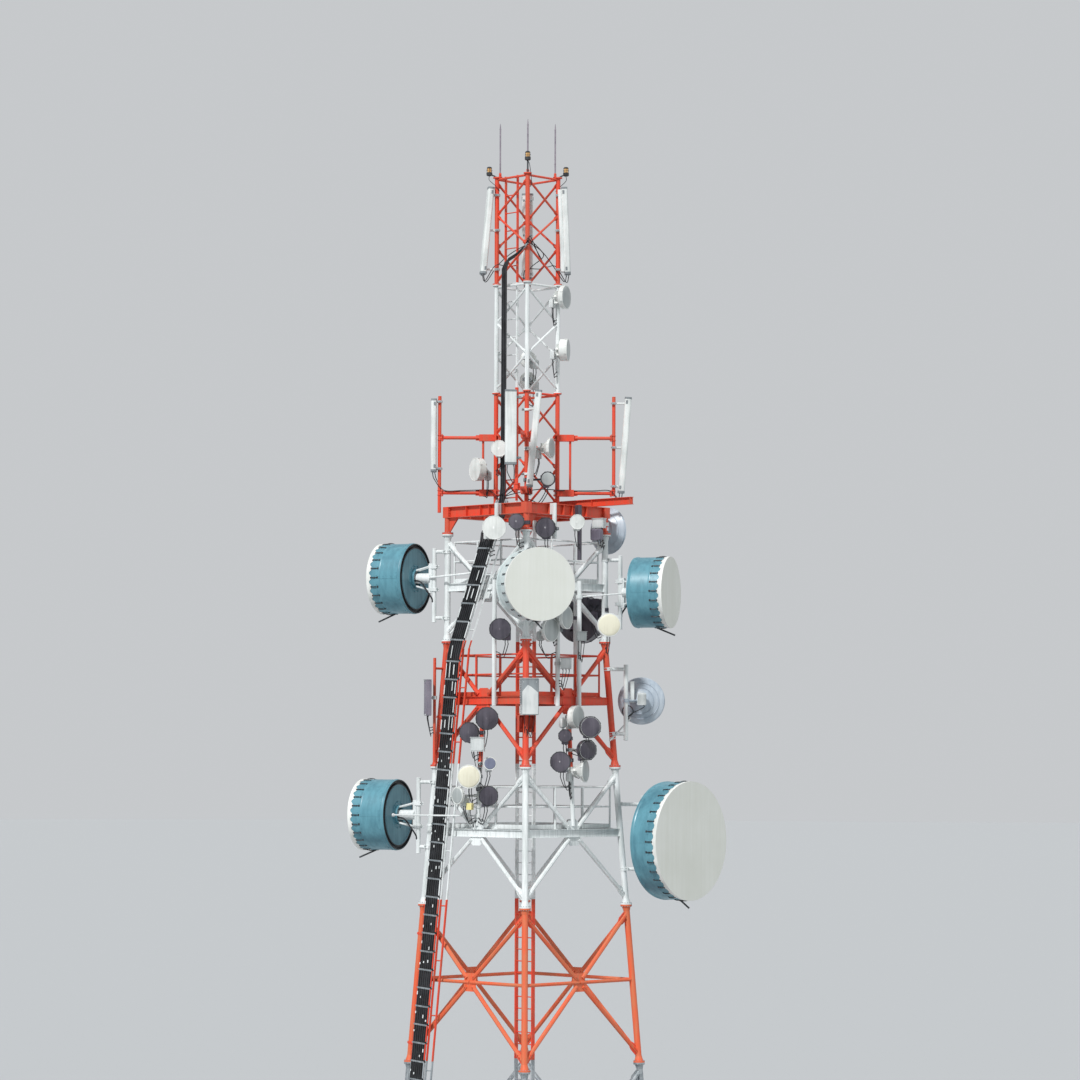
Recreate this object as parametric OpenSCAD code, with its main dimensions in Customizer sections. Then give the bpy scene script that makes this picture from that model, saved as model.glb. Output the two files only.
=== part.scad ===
// Four-legged steel lattice tower for microwave and cellular antennas.
// Seen along +Y the tower stands corner-on: its legs lie on the X and Y axes.
// The origin is on the tower's axis at ground level and Z points up.

/* [Tower sections] */
// Height of the lower galvanised bay
bay_base_1 = 4900; // [4200:100:5600]
// Height of the upper galvanised bay
bay_base_2 = 4400; // [3800:100:5000]
// Height of the lower red section
bay_red_low = 4000; // [3600:50:4600]
// Height of the lower white section
bay_white_low = 3500; // [3200:50:4000]
// Height of the upper red section
bay_red_high = 3200; // [2900:50:3700]
// Height of the upper white section, where the legs stand upright
bay_white_high = 2750; // [2600:50:3200]
// Distance from the tower's axis to a leg's axis in the upright section
top_spread = 2020; // [1900:10:2300]
// How far a leg leans out for each metre down
leg_lean = 84; // [60:1:100]

/* [Legs] */
// Outside diameter of the leg tubes
leg_d = 160; // [140:1:200]
// Diameter of the flanges that join the leg sections
flange_d = 290; // [260:1:340]
// Thickness of one leg flange
flange_t = 40; // [25:1:60]
// Height of the conical collar behind a flange
collar_h = 150; // [100:5:200]
// Diameter of the collar where it meets the flange
collar_d = 236; // [200:1:256]

/* [Foundations] */
// Width of a square base plate
plate_w = 700; // [600:10:900]
// Thickness of a base plate
plate_t = 50; // [30:1:80]
// Diameter of the circle of anchor holes round a leg
anchor_circle_d = 740; // [600:5:780]
// Diameter of an anchor hole
anchor_hole_d = 42; // [26:1:60]
// Height of the triangular ribs on a base plate
foot_rib_h = 140; // [100:10:150]
// Thickness of these ribs
foot_rib_t = 20; // [12:1:30]

/* [Bracing] */
// Diameter of the diagonal braces
brace_d = 110; // [90:1:130]
// Diameter of the horizontal ring braces
ring_d = 90; // [70:1:110]
// Height from a section's end to the point a diagonal aims at
brace_end = 215; // [200:5:300]
// Width of the gusset plates where diagonals cross
gusset_w = 420; // [360:10:520]
// Height that a gusset reaches above and below the middle
gusset_h = 230; // [200:10:300]
// Thickness of a gusset plate
gusset_t = 16; // [8:1:24]

/* [Platforms] */
// Depth of the perimeter beams
beam_h = 200; // [160:5:240]
// Width of their flanges
beam_b = 100; // [80:1:110]
// Thickness of their flanges
beam_flange_t = 10; // [8:1:20]
// Thickness of their webs
beam_web_t = 6; // [5:1:14]
// Clear width of the ladder hatch
hatch_w = 1100; // [900:10:1200]
// Width of a joist
joist_w = 60; // [40:1:80]
// Depth of a joist
joist_h = 110; // [80:1:120]
// Wall of the box sections that the joists are made of
joist_wall = 5; // [3:0.5:10]
// Depth of the floor panels, which stand for open gratings of the same weight
grating_t = 40; // [25:1:60]
// Thickness of a floor panel's sheet and of the ribs under it
grating_sheet = 5; // [3:0.5:10]
// Height of the railings above the floor
rail_h = 1080; // [900:10:1200]
// Diameter of the railing posts
post_d = 50; // [38:1:60]
// Diameter of the rails
rail_d = 44; // [30:1:50]
// Height of the toe board
toe_h = 110; // [60:5:150]

/* [Mast] */
// Height of the beam frame that carries the mast
seat_h = 700; // [600:10:800]
// Depth of the I-beams of that frame
seat_beam_h = 280; // [220:5:320]
// Flange width of those beams
seat_beam_b = 180; // [140:5:220]
// Depth of the beam that reaches out from the frame
outrigger_h = 190; // [140:5:240]
// Distance of that beam from the mast's axis
outrigger_side = 975; // [800:5:1100]
// Distance from the mast's axis to its free end
outrigger_reach = 2810; // [2200:10:3000]
// Height of the lower red mast section
mast_red_low_h = 2950; // [2600:50:3200]
// Height of the white mast section
mast_white_h = 2800; // [2600:50:3200]
// Height of the upper red mast section
mast_red_high_h = 2800; // [2500:50:3000]
// Distance from the mast's axis to a mast leg's axis
mast_spread = 790; // [700:10:900]
// Diameter of the mast legs
mast_leg_d = 114; // [90:1:130]
// Wall of the mast legs
mast_leg_wall = 7; // [4:1:14]
// Diameter of the mast's lacing bars
lacing_d = 60; // [40:1:70]
// Diameter of the mast's leg flanges
mast_flange_d = 210; // [180:1:240]
// Thickness of these flanges
mast_flange_t = 28; // [16:1:40]

/* [Ladders and cables] */
// Width of the access ladder between its side rails' middles
ladder_w = 600; // [450:10:700]
// Depth of a side rail
ladder_rail_h = 100; // [60:1:120]
// Width of a side rail
ladder_rail_b = 40; // [20:1:50]
// Rung spacing of the access ladder
rung_step = 300; // [250:10:350]
// Diameter of the rungs
rung_d = 30; // [20:1:36]
// Width of the mast ladder
mast_ladder_w = 430; // [350:10:480]
// Rung spacing of the mast ladder
mast_rung_step = 460; // [300:10:500]
// Width of the cable ladder between its rails' middles
tray_w = 550; // [450:10:650]
// Width of the narrow ladder beside it
tray_side_w = 210; // [150:10:260]
// Spacing of the cable ladder's rungs
tray_step = 460; // [300:10:600]
// Width of the square rails of the cable ladder
tray_rail = 40; // [25:1:50]
// Number of feeder cables side by side
cable_count = 7; // [3:1:7]
// Diameter of a feeder cable
cable_d = 52; // [30:1:56]

/* [Antenna frame] */
// Length of the cross arms, from the mast's axis to the end pole
arm_reach = 2240; // [2000:10:2500]
// Diameter of the cross arms
arm_d = 90; // [60:1:110]
// Height of the lower arms above the foot of the mast
arm_low_z = 370; // [300:10:600]
// Vertical distance between lower and upper arms
arm_step = 1420; // [1200:10:1600]
// Diameter of the end poles
arm_pole_d = 89; // [60:1:114]
// Width of the box sleeve that clamps an arm to a mast leg
sleeve_w = 170; // [130:5:200]
// Wall of these sleeves
sleeve_wall = 10; // [6:1:16]

/* [Panel antennas] */
// Height of the top panel antennas
top_panel_h = 2230; // [1800:10:2500]
// Width of the top panel antennas
top_panel_w = 290; // [200:5:350]
// Depth of the top panel antennas
top_panel_t = 150; // [90:5:200]
// Height of the sector panels on the antenna frame
sector_panel_h = 1850; // [1500:10:2200]
// Width of the sector panels
sector_panel_w = 290; // [200:5:340]
// Depth of the sector panels
sector_panel_t = 140; // [80:5:180]
// Length of the two slim leaning panels
slim_panel_h = 2450; // [2000:10:2600]
// Width of the slim panels
slim_panel_w = 170; // [120:5:220]

/* [Drum dishes] */
// Diameter of the four middling drum dishes
drum_d = 1800; // [1500:10:2000]
// Diameter of the big drum at the lower right
big_drum_d = 2980; // [2600:10:3100]
// Depth of the upper left drum
drum_depth_ul = 950; // [800:10:1050]
// Depth of the upper right drum
drum_depth_ur = 920; // [800:10:1050]
// Depth of the front drum
drum_depth_front = 750; // [600:10:900]
// Depth of the lower left drum
drum_depth_ll = 1000; // [850:10:1100]
// Depth of the big drum
big_drum_depth = 800; // [650:10:950]
// Thickness of the radome's disc
radome_t = 14; // [8:1:20]
// Width of the hoop that holds a radome on its drum
hoop_w = 70; // [50:1:100]
// How far the hoop stands out from the drum
hoop_t = 14; // [8:1:24]
// Diameter of the hub ring on a drum's back
hub_ring_d = 500; // [400:10:600]

/* [Dish poles] */
// Diameter of the dish poles
pole_d = 114; // [89:1:140]
// Wall of the dish poles and of the antenna frame's end poles
pole_wall = 6; // [4:1:12]
// Diameter of the stand-off arms that hold them
stand_off_d = 96; // [70:1:114]
// Height of the clamps round legs and poles
clamp_h = 90; // [60:5:140]
// Wall of the clamps
clamp_t = 24; // [12:1:36]

/* [Small dishes] */
// Diameter of the common small dishes
dish_d = 600; // [500:10:700]
// Diameter of the smallest dishes
mini_dish_d = 320; // [250:10:380]
// Diameter of the two open dishes with a deep back
open_dish_d = 1190; // [1000:10:1300]
// Depth of a small dish's shroud
dish_shroud = 150; // [80:5:220]

/* [Top fittings] */
// Height of a lightning rod above the mast
rod_h = 1400; // [1000:10:1800]
// Diameter of a lightning rod
rod_d = 40; // [24:1:50]
// Diameter of the warning lamps
lamp_d = 130; // [90:1:180]
// Height of a warning lamp's lens
lamp_h = 120; // [80:5:180]

/* [Hidden] */
$fn = 32;

// Gap left between neighbouring pieces that are bolted or clamped together
fit = 0.3;
// Working clearance beside a brace
brace_gap = 15;
// Half of a right angle, the turn of the tower's faces from the row's axes
corner_turn = 45;

red = [0.83, 0.26, 0.16];
white = [0.93, 0.94, 0.93];
galvanised = [0.62, 0.65, 0.67];
teal = [0.38, 0.60, 0.64];
black = [0.08, 0.08, 0.09];
cream = [0.86, 0.86, 0.80];
panel_grey = [0.74, 0.76, 0.74];

// Levels of the section joints, from the ground up
z_base_1 = bay_base_1;
z_red_low = z_base_1 + bay_base_2;
z_white_low = z_red_low + bay_red_low;
z_red_high = z_white_low + bay_white_low;
z_white_high = z_red_high + bay_red_high;
z_seat = z_white_high + bay_white_high;
z_mast = z_seat + seat_h;
z_mast_white = z_mast + mast_red_low_h;
z_mast_red = z_mast_white + mast_white_h;
z_mast_top = z_mast_red + mast_red_high_h;

function mix(a, b, t) = a + (b - a) * t;
function unit(v) = v / norm(v);
function heading(a) = [cos(a), sin(a), 0];
function leg_spread(z) = top_spread + leg_lean / 1000 * max(0, z_white_high - z);
function leg_at(i, z) = leg_spread(z) * heading(90 * i) + [0, 0, z];
function mast_leg_at(i, z) = mast_spread * heading(90 * i) + [0, 0, z];
function apothem(z) = leg_spread(z) / sqrt(2);
function face_tilt(z) = z < z_white_high ? atan(leg_lean / 1000 / sqrt(2)) : 0;

// The point where the two diagonals of a bay's face cross
function crossing(i, z0, z1) =
    let (lo = z0 + brace_end, hi = z1 - brace_end,
         w0 = leg_spread(lo), w1 = leg_spread(hi))
    mix(leg_at(i, lo), leg_at(i + 1, hi), w0 / (w0 + w1));

// Level of the diagonals' crossing in each bay that carries a platform
z_deck_low = crossing(0, z_white_low, z_red_high).z;
z_deck_middle = crossing(0, z_red_high, z_white_high).z;
z_deck_high = crossing(0, z_white_high, z_seat).z;

function i_section(h, b, tf, tw) = [
    [-b / 2, -h / 2], [b / 2, -h / 2], [b / 2, tf - h / 2], [tw / 2, tf - h / 2],
    [tw / 2, h / 2 - tf], [b / 2, h / 2 - tf], [b / 2, h / 2], [-b / 2, h / 2],
    [-b / 2, h / 2 - tf], [-tw / 2, h / 2 - tf], [-tw / 2, tf - h / 2], [-b / 2, tf - h / 2]
];

// Stands children along the line from p to q
module along(p, q) {
    v = q - p;
    translate(p)
        rotate([0, acos(v.z / norm(v)), atan2(v.y, v.x)])
            children();
}

module bar(p, q, d, sides = 8) {
    along(p, q)
        cylinder(h = norm(q - p), d = d, $fn = sides);
}

module tube_line(p, q, d) {
    bar(p, q, d, 32);
}

// A profile in the upright plane, drawn out along the level line from p to q
module beam(p, q, points) {
    v = q - p;
    translate(p)
        rotate([0, 0, atan2(v.y, v.x)])
            rotate([90, 0, 90])
                linear_extrude(norm(v))
                    polygon(points);
}

// The plane of a tower face: X points outwards, Y along the face and Z up it
module on_face(i, p) {
    translate(p)
        rotate([0, -face_tilt(p.z), 90 * i + corner_turn])
            children();
}

// The tower's square plan, turned so that its sides lie along X and Y
module square_plan(z = 0) {
    translate([0, 0, z])
        rotate(corner_turn)
            children();
}

module leg_line(i, z0, z1, grow = 0) {
    tube_line(leg_at(i, z0), leg_at(i, z1), leg_d + 2 * grow);
}

// Base plates

module base_plate(i) {
    foot = leg_at(i, 0);
    translate([foot.x, foot.y, 0])
        difference() {
            rotate(corner_turn)
                translate([-plate_w / 2, -plate_w / 2, 0])
                    cube([plate_w, plate_w, plate_t]);
            for (k = [0:3])
                rotate(90 * k)
                    translate([anchor_circle_d / 2, 0, -1])
                        cylinder(h = plate_t + 2, d = anchor_hole_d);
        }
}

foot_rib_end = 40;

module foot_ribs(i) {
    foot = leg_at(i, plate_t);
    reach = plate_w / 2 - 30;
    for (k = [0:3])
        translate(foot)
            rotate(corner_turn + 90 * k)
                rotate([90, 0, 0])
                    linear_extrude(foot_rib_t, center = true)
                        polygon([[leg_d / 4, 0], [reach, 0], [reach, foot_rib_end],
                                 [leg_d / 2, foot_rib_h], [leg_d / 4, foot_rib_h]]);
}

module base_plates() {
    color(galvanised)
        for (i = [0:3])
            base_plate(i);
}

// Legs

module flange(i, z, up) {
    translate(leg_at(i, z) - [0, 0, up ? 0 : flange_t])
        cylinder(h = flange_t, d = flange_d);
    tip = z + (up ? 1 : -1) * (collar_h + flange_t);
    along(leg_at(i, z + (up ? 1 : -1) * flange_t / 2), leg_at(i, tip))
        cylinder(h = collar_h, d1 = collar_d, d2 = leg_d);
}

module leg(i, z0, z1) {
    leg_line(i, z0 + flange_t / 2, z1 - flange_t / 2);
    flange(i, z0, true);
    flange(i, z1, false);
}

module legs(z0, z1) {
    for (i = [0:3])
        leg(i, z0, z1);
}

module legs_base() {
    color(galvanised)
        for (i = [0:3]) {
            leg(i, plate_t, z_base_1);
            foot_ribs(i);
            leg(i, z_base_1, z_red_low);
        }
}

module legs_red_low() {
    color(red) legs(z_red_low, z_white_low);
}

module legs_white_low() {
    color(white) legs(z_white_low, z_red_high);
}

module legs_red_high() {
    color(red) legs(z_red_high, z_white_high);
}

module legs_white_high() {
    color(white) legs(z_white_high, z_seat);
}

// Bracing

module gusset(i, c, half_h, grow = 0) {
    w = gusset_w / 2 + grow;
    h = half_h + grow;
    cut = min(w, h) / 3;
    on_face(i, c)
        rotate([90, 0, 90])
            linear_extrude(gusset_t + 2 * grow, center = true)
                polygon([[-w, cut - h], [cut - w, -h], [w - cut, -h], [w, cut - h],
                         [w, h - cut], [w - cut, h], [cut - w, h], [-w, h - cut]]);
}

// Where a diagonal starts, clear of the bar or beam of depth middle_h at the crossing
function arm_start(u, middle_h) =
    (middle_h / 2 + brace_gap + brace_d / 2 * sqrt(1 - u.z * u.z)) / abs(u.z);

module diagonals(i, z0, z1, middle_h) {
    c = crossing(i, z0, z1);
    for (k = [i, i + 1])
        for (z = [z0 + brace_end, z1 - brace_end]) {
            p = leg_at(k, z);
            u = unit(p - c);
            bar(c + u * arm_start(u, middle_h), p, brace_d);
        }
}

module ring_bars(i, c) {
    for (k = [i, i + 1]) {
        p = leg_at(k, c.z);
        bar(c + unit(p - c) * brace_gap, p, ring_d);
    }
}

// One flat side of a bay: slotted tubes on a gusset plate
module braced_face(i, z0, z1, with_ring) {
    c = crossing(i, z0, z1);
    half_h = with_ring ? gusset_h : beam_h / 2 + gusset_h - brace_gap;
    if (with_ring)
        gusset(i, c, half_h);
    difference() {
        union() {
            diagonals(i, z0, z1, with_ring ? ring_d : beam_h);
            if (with_ring)
                ring_bars(i, c);
        }
        gusset(i, c, half_h, fit);
        leg_line(i, z0, z1, fit);
        leg_line(i + 1, z0, z1, fit);
    }
}

module bracing(z0, z1, with_ring) {
    for (i = [0:3])
        braced_face(i, z0, z1, with_ring);
}

module bracing_base() {
    color(galvanised) {
        bracing(0, z_base_1, true);
        bracing(z_base_1, z_red_low, true);
    }
}

module bracing_red_low() {
    color(red) bracing(z_red_low, z_white_low, true);
}

module bracing_white_low() {
    color(white) bracing(z_white_low, z_red_high, false);
}

module bracing_red_high() {
    color(red) bracing(z_red_high, z_white_high, false);
}

module bracing_white_high() {
    color(white) bracing(z_white_high, z_seat, false);
}

// Platforms

function deck_top(z) = z + beam_h / 2;

module perimeter_beam(i, z) {
    p = leg_at(i, z);
    q = leg_at(i + 1, z);
    difference() {
        beam(p, q, i_section(beam_h, beam_b, beam_flange_t, beam_web_t));
        leg_line(i, z - beam_h, z + beam_h, fit);
        leg_line(i + 1, z - beam_h, z + beam_h, fit);
    }
    gusset(i, (p + q) / 2, beam_h / 2 + gusset_h - brace_gap);
}

// A length of box section along X, open at its ends
module joist_bar(l) {
    difference() {
        cube([l, joist_w, joist_h]);
        translate([-1, joist_wall, joist_wall])
            cube([l + 2, joist_w - 2 * joist_wall, joist_h - 2 * joist_wall]);
    }
}

// Joists fit between the flanges of the perimeter beams and carry the gratings
module joist(y, z) {
    half = apothem(z) - beam_web_t / 2 - fit;
    translate([-half, y - joist_w / 2, deck_top(z) - grating_t - joist_h])
        joist_bar(2 * half);
}

module trimmer(x, z) {
    half = hatch_w / 2 - fit;
    translate([x + joist_w / 2, -half, deck_top(z) - grating_t - joist_h])
        rotate(90)
            joist_bar(2 * half);
}

module platform(z) {
    for (i = [0:3])
        perimeter_beam(i, z);
    square_plan()
        for (side = [-1, 1]) {
            joist(side * (hatch_w + joist_w) / 2, z);
            joist(side * (apothem(z) - beam_b - joist_w), z);
            trimmer(side * (hatch_w + joist_w) / 2, z);
        }
}

module platform_low() {
    color(white) platform(z_deck_low);
}

module platform_middle() {
    color(red) platform(z_deck_middle);
}

module platform_high() {
    color(white) platform(z_deck_high);
}

// A sheet with ribs under it, open between them from below
module floor_panel(x, y) {
    cells = [round(x / floor_cell), round(y / floor_cell)];
    step = [(x - grating_sheet) / cells.x, (y - grating_sheet) / cells.y];
    difference() {
        cube([x, y, grating_t]);
        for (j = [0:cells.x - 1], k = [0:cells.y - 1])
            translate([grating_sheet + j * step.x, grating_sheet + k * step.y, -1])
                cube([step.x - grating_sheet, step.y - grating_sheet, grating_t - grating_sheet + 1]);
    }
}

floor_cell = 640;

// Four floor panels leave the ladder hatch open between them
module grating_ring(z) {
    edge = apothem(z) - brace_d / 2 - 2 * brace_gap;
    inner = hatch_w / 2;
    difference() {
        square_plan(deck_top(z) - grating_t) {
            for (side = [-1, 1]) {
                translate([-edge, side > 0 ? inner : -edge, 0])
                    floor_panel(2 * edge, edge - inner);
                translate([side > 0 ? inner : -edge, fit - inner, 0])
                    floor_panel(edge - inner, 2 * (inner - fit));
            }
        }
        for (i = [0:3])
            leg_line(i, z - beam_h, z + beam_h, brace_gap);
    }
}

module platform_gratings() {
    color(galvanised)
        for (z = [z_deck_low, z_deck_middle, z_deck_high])
            grating_ring(z);
}

// Railings

module railing_side(z) {
    lean = rail_h * tan(face_tilt(z));
    line = apothem(z) - brace_d / 2 - post_d / 2 - brace_gap - lean;
    half = line - post_d - brace_gap;
    posts = 4;
    translate([line, 0, deck_top(z)]) {
        for (k = [0:posts - 1])
            translate([0, -half + 2 * half * k / (posts - 1), 0])
                cylinder(h = rail_h - rail_d / 2, d = post_d, $fn = 12);
        for (h = [rail_h - rail_d / 2, rail_h * 0.52])
            bar([0, -half, h], [0, half, h], rail_d);
        translate([-6, -half, 12])
            cube([8, 2 * half, toe_h]);
    }
}

module railing(z) {
    square_plan()
        for (k = [0:3])
            rotate(90 * k)
                railing_side(z);
}

module railing_low() {
    color(white) railing(z_deck_low);
}

module railing_middle() {
    color(red) railing(z_deck_middle);
}

module railing_high() {
    color(white) railing(z_deck_high);
}

// Frame of I-beams that carries the mast

seat_flange_t = 16;
seat_web_t = 12;
inner_beam_b = 120;
light_flange_t = 12;
light_web_t = 8;
haunch_l = 300;
z_seat_beam = z_mast - seat_beam_h / 2;
// The mast stands on two pairs of inner beams below its faces
seat_inner = mast_spread / sqrt(2);

module seat_corner(i) {
    foot = leg_at(i, z_seat);
    translate(foot) {
        cylinder(h = flange_t, d = flange_d);
        translate([0, 0, flange_t])
            cylinder(h = seat_h - flange_t, d = leg_d);
        haunch = seat_h - seat_beam_h - fit;
        for (turn = [135, 225])
            rotate(90 * i + turn)
                rotate([90, 0, 0])
                    linear_extrude(gusset_t, center = true)
                        polygon([[0, flange_t], [leg_d / 2, flange_t],
                                 [leg_d / 2 + haunch_l, haunch], [0, haunch]]);
        rotate(90 * i + corner_turn)
            translate([-seat_beam_b / 2, -seat_beam_b / 2, seat_h - seat_beam_h])
                cube([seat_beam_b, seat_beam_b, seat_beam_h]);
    }
}

// A side beam fits between two box corners
module seat_side(i) {
    p = leg_at(i, z_seat_beam);
    q = leg_at(i + 1, z_seat_beam);
    end = (seat_beam_b / 2 + fit) * unit(q - p);
    beam(p + end, q - end, i_section(seat_beam_h, seat_beam_b, seat_flange_t, seat_web_t));
}

// Each inner beam fits between two side beams and has a pad under each mast leg
module seat_inner_beams() {
    half = apothem(z_seat) - seat_web_t / 2 - fit;
    slim_h = seat_beam_h - 2 * (seat_flange_t + fit);
    pad_h = z_mast - fit - (z_seat_beam + slim_h / 2);
    square_plan(z_seat_beam)
        for (side = [-1, 1]) {
            beam([-half, side * seat_inner, 0], [half, side * seat_inner, 0],
                 i_section(slim_h, inner_beam_b, light_flange_t, light_web_t));
            for (end = [-1, 1])
                translate([end * seat_inner, side * seat_inner, (slim_h + pad_h) / 2])
                    cube([mast_flange_d, mast_flange_d, pad_h], center = true);
        }
}

// A lighter I-beam lies on the frame beside the mast and reaches out past its near-right side
module outrigger() {
    square_plan(z_mast + fit + outrigger_h / 2)
        beam([outrigger_side, apothem(z_seat), 0], [outrigger_side, -outrigger_reach, 0],
             i_section(outrigger_h, inner_beam_b, light_flange_t, light_web_t));
}

module mast_seat() {
    color(red) {
        for (i = [0:3]) {
            seat_corner(i);
            seat_side(i);
        }
        seat_inner_beams();
        outrigger();
    }
}

// Mast

// An upright tube, open at both ends
module tube(foot, h, d, wall) {
    translate(foot)
        difference() {
            cylinder(h = h, d = d, $fn = 32);
            translate([0, 0, -1])
                cylinder(h = h + 2, d = d - 2 * wall, $fn = 32);
        }
}

module mast_leg(i, z0, z1) {
    tube(mast_leg_at(i, z0), z1 - z0, mast_leg_d, mast_leg_wall);
    for (z = [z0, z1 - mast_flange_t])
        tube(mast_leg_at(i, z), mast_flange_t, mast_flange_d, (mast_flange_d - mast_leg_d) / 2 + mast_leg_wall);
}

// Lacing runs down each side from leg to leg, mirrored about the plane through the near leg
module lacing(i, z0, z1) {
    near_side = i == 2 || i == 3;
    start = near_side ? 3 : (i == 0 ? 0 : 2);
    far = start == i ? i + 1 : i;
    steps = 3;
    lo = z0 + mast_flange_t + lacing_d;
    hi = z1 - mast_flange_t - 2 * lacing_d;
    pitch = (hi - lo) / steps;
    difference() {
        union() {
            for (k = [0:steps - 1]) {
                from_start = k % 2 == 0;
                bar(mast_leg_at(from_start ? start : far, hi - k * pitch),
                    mast_leg_at(from_start ? far : start, hi - (k + 1) * pitch), lacing_d);
            }
            top = z1 - mast_flange_t - lacing_d / 2 - 1;
            bar(mast_leg_at(i, top), mast_leg_at(i + 1, top), lacing_d);
        }
        for (k = [i, i + 1])
            bar(mast_leg_at(k, z0), mast_leg_at(k, z1), mast_leg_d + 2 * fit, 32);
    }
}

module mast_section(z0, z1) {
    for (i = [0:3]) {
        mast_leg(i, z0, z1);
        lacing(i, z0, z1);
    }
}

module mast_red_low() {
    color(red) mast_section(z_mast, z_mast_white);
}

module mast_white() {
    color(white) mast_section(z_mast_white, z_mast_red);
}

module mast_red_high() {
    color(red) mast_section(z_mast_red, z_mast_top);
}

// Ladders

// Two rails and their rungs, upright, in the plane through Y and Z
module ladder(z0, z1, width, rail_depth, rail_width, step) {
    for (side = [-1, 1])
        translate([-rail_depth / 2, side * width / 2 - rail_width / 2, z0])
            cube([rail_depth, rail_width, z1 - z0]);
    rungs = floor((z1 - z0 - step / 2) / step);
    for (k = [0:rungs])
        translate([0, 0, z0 + step / 2 + k * step])
            bar([0, -width / 2, 0], [0, width / 2, 0], rung_d);
}

mast_ladder_inset = 100;
mast_ladder_depth = 60;

module mast_ladder() {
    plane = mast_spread / sqrt(2);
    shift = 116;
    color(white)
        square_plan()
            translate([mast_ladder_inset - plane, shift, 0]) {
                ladder(z_mast + fit, z_mast_top, mast_ladder_w, mast_ladder_depth, 34, mast_rung_step);
                // Cleats reach the ring bar at the top of each mast section
                for (top = [z_mast_white, z_mast_red, z_mast_top], side = [-1, 1]) {
                    long = mast_ladder_inset - mast_ladder_depth / 2 - lacing_d / 2 - fit;
                    translate([-mast_ladder_depth / 2 - long, side * mast_ladder_w / 2 - 17,
                               top - mast_flange_t - lacing_d])
                        cube([long + 1, 34, lacing_d]);
                }
            }
}

// Cleats from the ladder's rails to the joists beside the hatch
module ladder_cleats(z) {
    level = deck_top(z) - grating_t - joist_h;
    inner = ladder_w / 2 + ladder_rail_b / 2 - 1;
    for (side = [-1, 1])
        translate([-25, side > 0 ? inner : fit - hatch_w / 2, level])
            cube([50, hatch_w / 2 - fit - inner, joist_h / 2]);
}

module ladder_length(z0, z1) {
    ladder(z0, z1 - fit, ladder_w, ladder_rail_h, ladder_rail_b, rung_step);
}

module access_ladder() {
    color(galvanised)
        square_plan() {
            ladder_length(0, z_red_low);
            ladder_length(z_red_low, z_white_low);
            ladder_length(z_white_low, z_red_high);
            ladder_cleats(z_deck_low);
            ladder_length(z_red_high, z_white_high);
            ladder_cleats(z_deck_middle);
            ladder_length(z_white_high, z_seat + seat_h / 2);
            ladder_cleats(z_deck_high);
        }
}

// Cable ladder beside the left leg, outside the near-left face

tray_first = 250;
tray_out = 170;
tray_rung = 32;
tray_foot = 400;
tray_bracket_foot = 1500;
tray_bend = z_white_high - 200;
tray_top = z_seat - 260;
tray_shift = 1130;
// Room for the turned ends of the rails where the two lengths meet
tray_joint = 0.17 * tray_rail;

// A point at distance t along the near-left face from the left leg, and n outside it
function tray_at(t, n, z) = leg_at(2, z) + t * unit([1, -1, 0]) + n * unit([-1, -1, 0]);
// Above the bend the ladder leans over towards the near leg
function tray_up(t, n, z) = tray_at(t + tray_shift * max(0, z - tray_bend) / (tray_top - tray_bend), n, z);
tray_rails = [tray_first, tray_first + tray_w, tray_first + tray_w + tray_side_w];

module tray_part(z0, z1) {
    for (t = tray_rails)
        bar(tray_up(t, tray_out, z0), tray_up(t, tray_out, z1), tray_rail * sqrt(2), 4);
    drop = tray_w / sqrt(2) * leg_lean / 1000;
    for (z = [z0 + tray_step / 2:tray_step:z1 - tray_step / 4])
        bar(tray_up(tray_rails[0], tray_out, z), tray_up(tray_rails[1], tray_out, z - drop), tray_rung, 4);
    for (z = [z0 + tray_step:3 * tray_step:z1 - tray_step / 4])
        bar(tray_up(tray_rails[1], tray_out, z), tray_up(tray_rails[2], tray_out, z), tray_rung, 4);
}

module tray_brackets(z0, z1) {
    difference() {
        for (z = [z0:6 * tray_step:z1])
            bar(tray_at(tray_first, tray_out, z), leg_at(2, z), 50);
        leg_line(2, 0, z_white_high, fit);
    }
}

module cable_ladder() {
    color(galvanised) {
        tray_part(tray_foot, tray_bend);
        tray_brackets(tray_bracket_foot, tray_bend);
        tray_part(tray_bend + tray_joint, tray_top);
    }
}

// Cables are swept along a route of points, with each ring turned to the mean direction there

function way(p, k) =
    let (a = unit(p[max(k, 1)] - p[max(k, 1) - 1]),
         b = unit(p[min(k + 1, len(p) - 1)] - p[min(k, len(p) - 2)]))
    unit(a + b);

function ring(c, t, d, sides) =
    let (x = unit(cross([-1, -1, 0], t)), y = cross(t, x))
    [for (j = [0:sides - 1]) c + d / 2 * (cos(360 * j / sides) * x + sin(360 * j / sides) * y)];

// One length of a cable, from point k0 to point k1 of its route
module cable_length(p, k0, k1) {
    sides = 8;
    last = k1 - k0;
    polyhedron(
        points = [for (k = [k0:k1])
            each ring(p[k] + (k == k0 ? fit : 0) * way(p, k), way(p, k), cable_d, sides)],
        faces = concat(
            [[for (j = [0:sides - 1]) j]],
            [for (k = [0:last - 1], j = [0:sides - 1])
                let (a = k * sides + j, b = k * sides + (j + 1) % sides)
                [a, a + sides, b + sides, b]],
            [[for (j = [sides - 1:-1:0]) last * sides + j]]));
}

// A cable is made in lengths that end at its bends
module cable(p, ends) {
    for (k = [1:len(ends) - 1])
        cable_length(p, ends[k - 1], ends[k]);
}

// Step in X and Y between the three cables that climb the mast
mast_feeder_step = 44;
// Route of one feeder cable: up the cable ladder, in below the mast's frame and up to its foot
cable_out = tray_out + tray_rung / 2 + cable_d / 2 + fit;
cable_edge = tray_rail / sqrt(2) + cable_d / 2 + 1;
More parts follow.
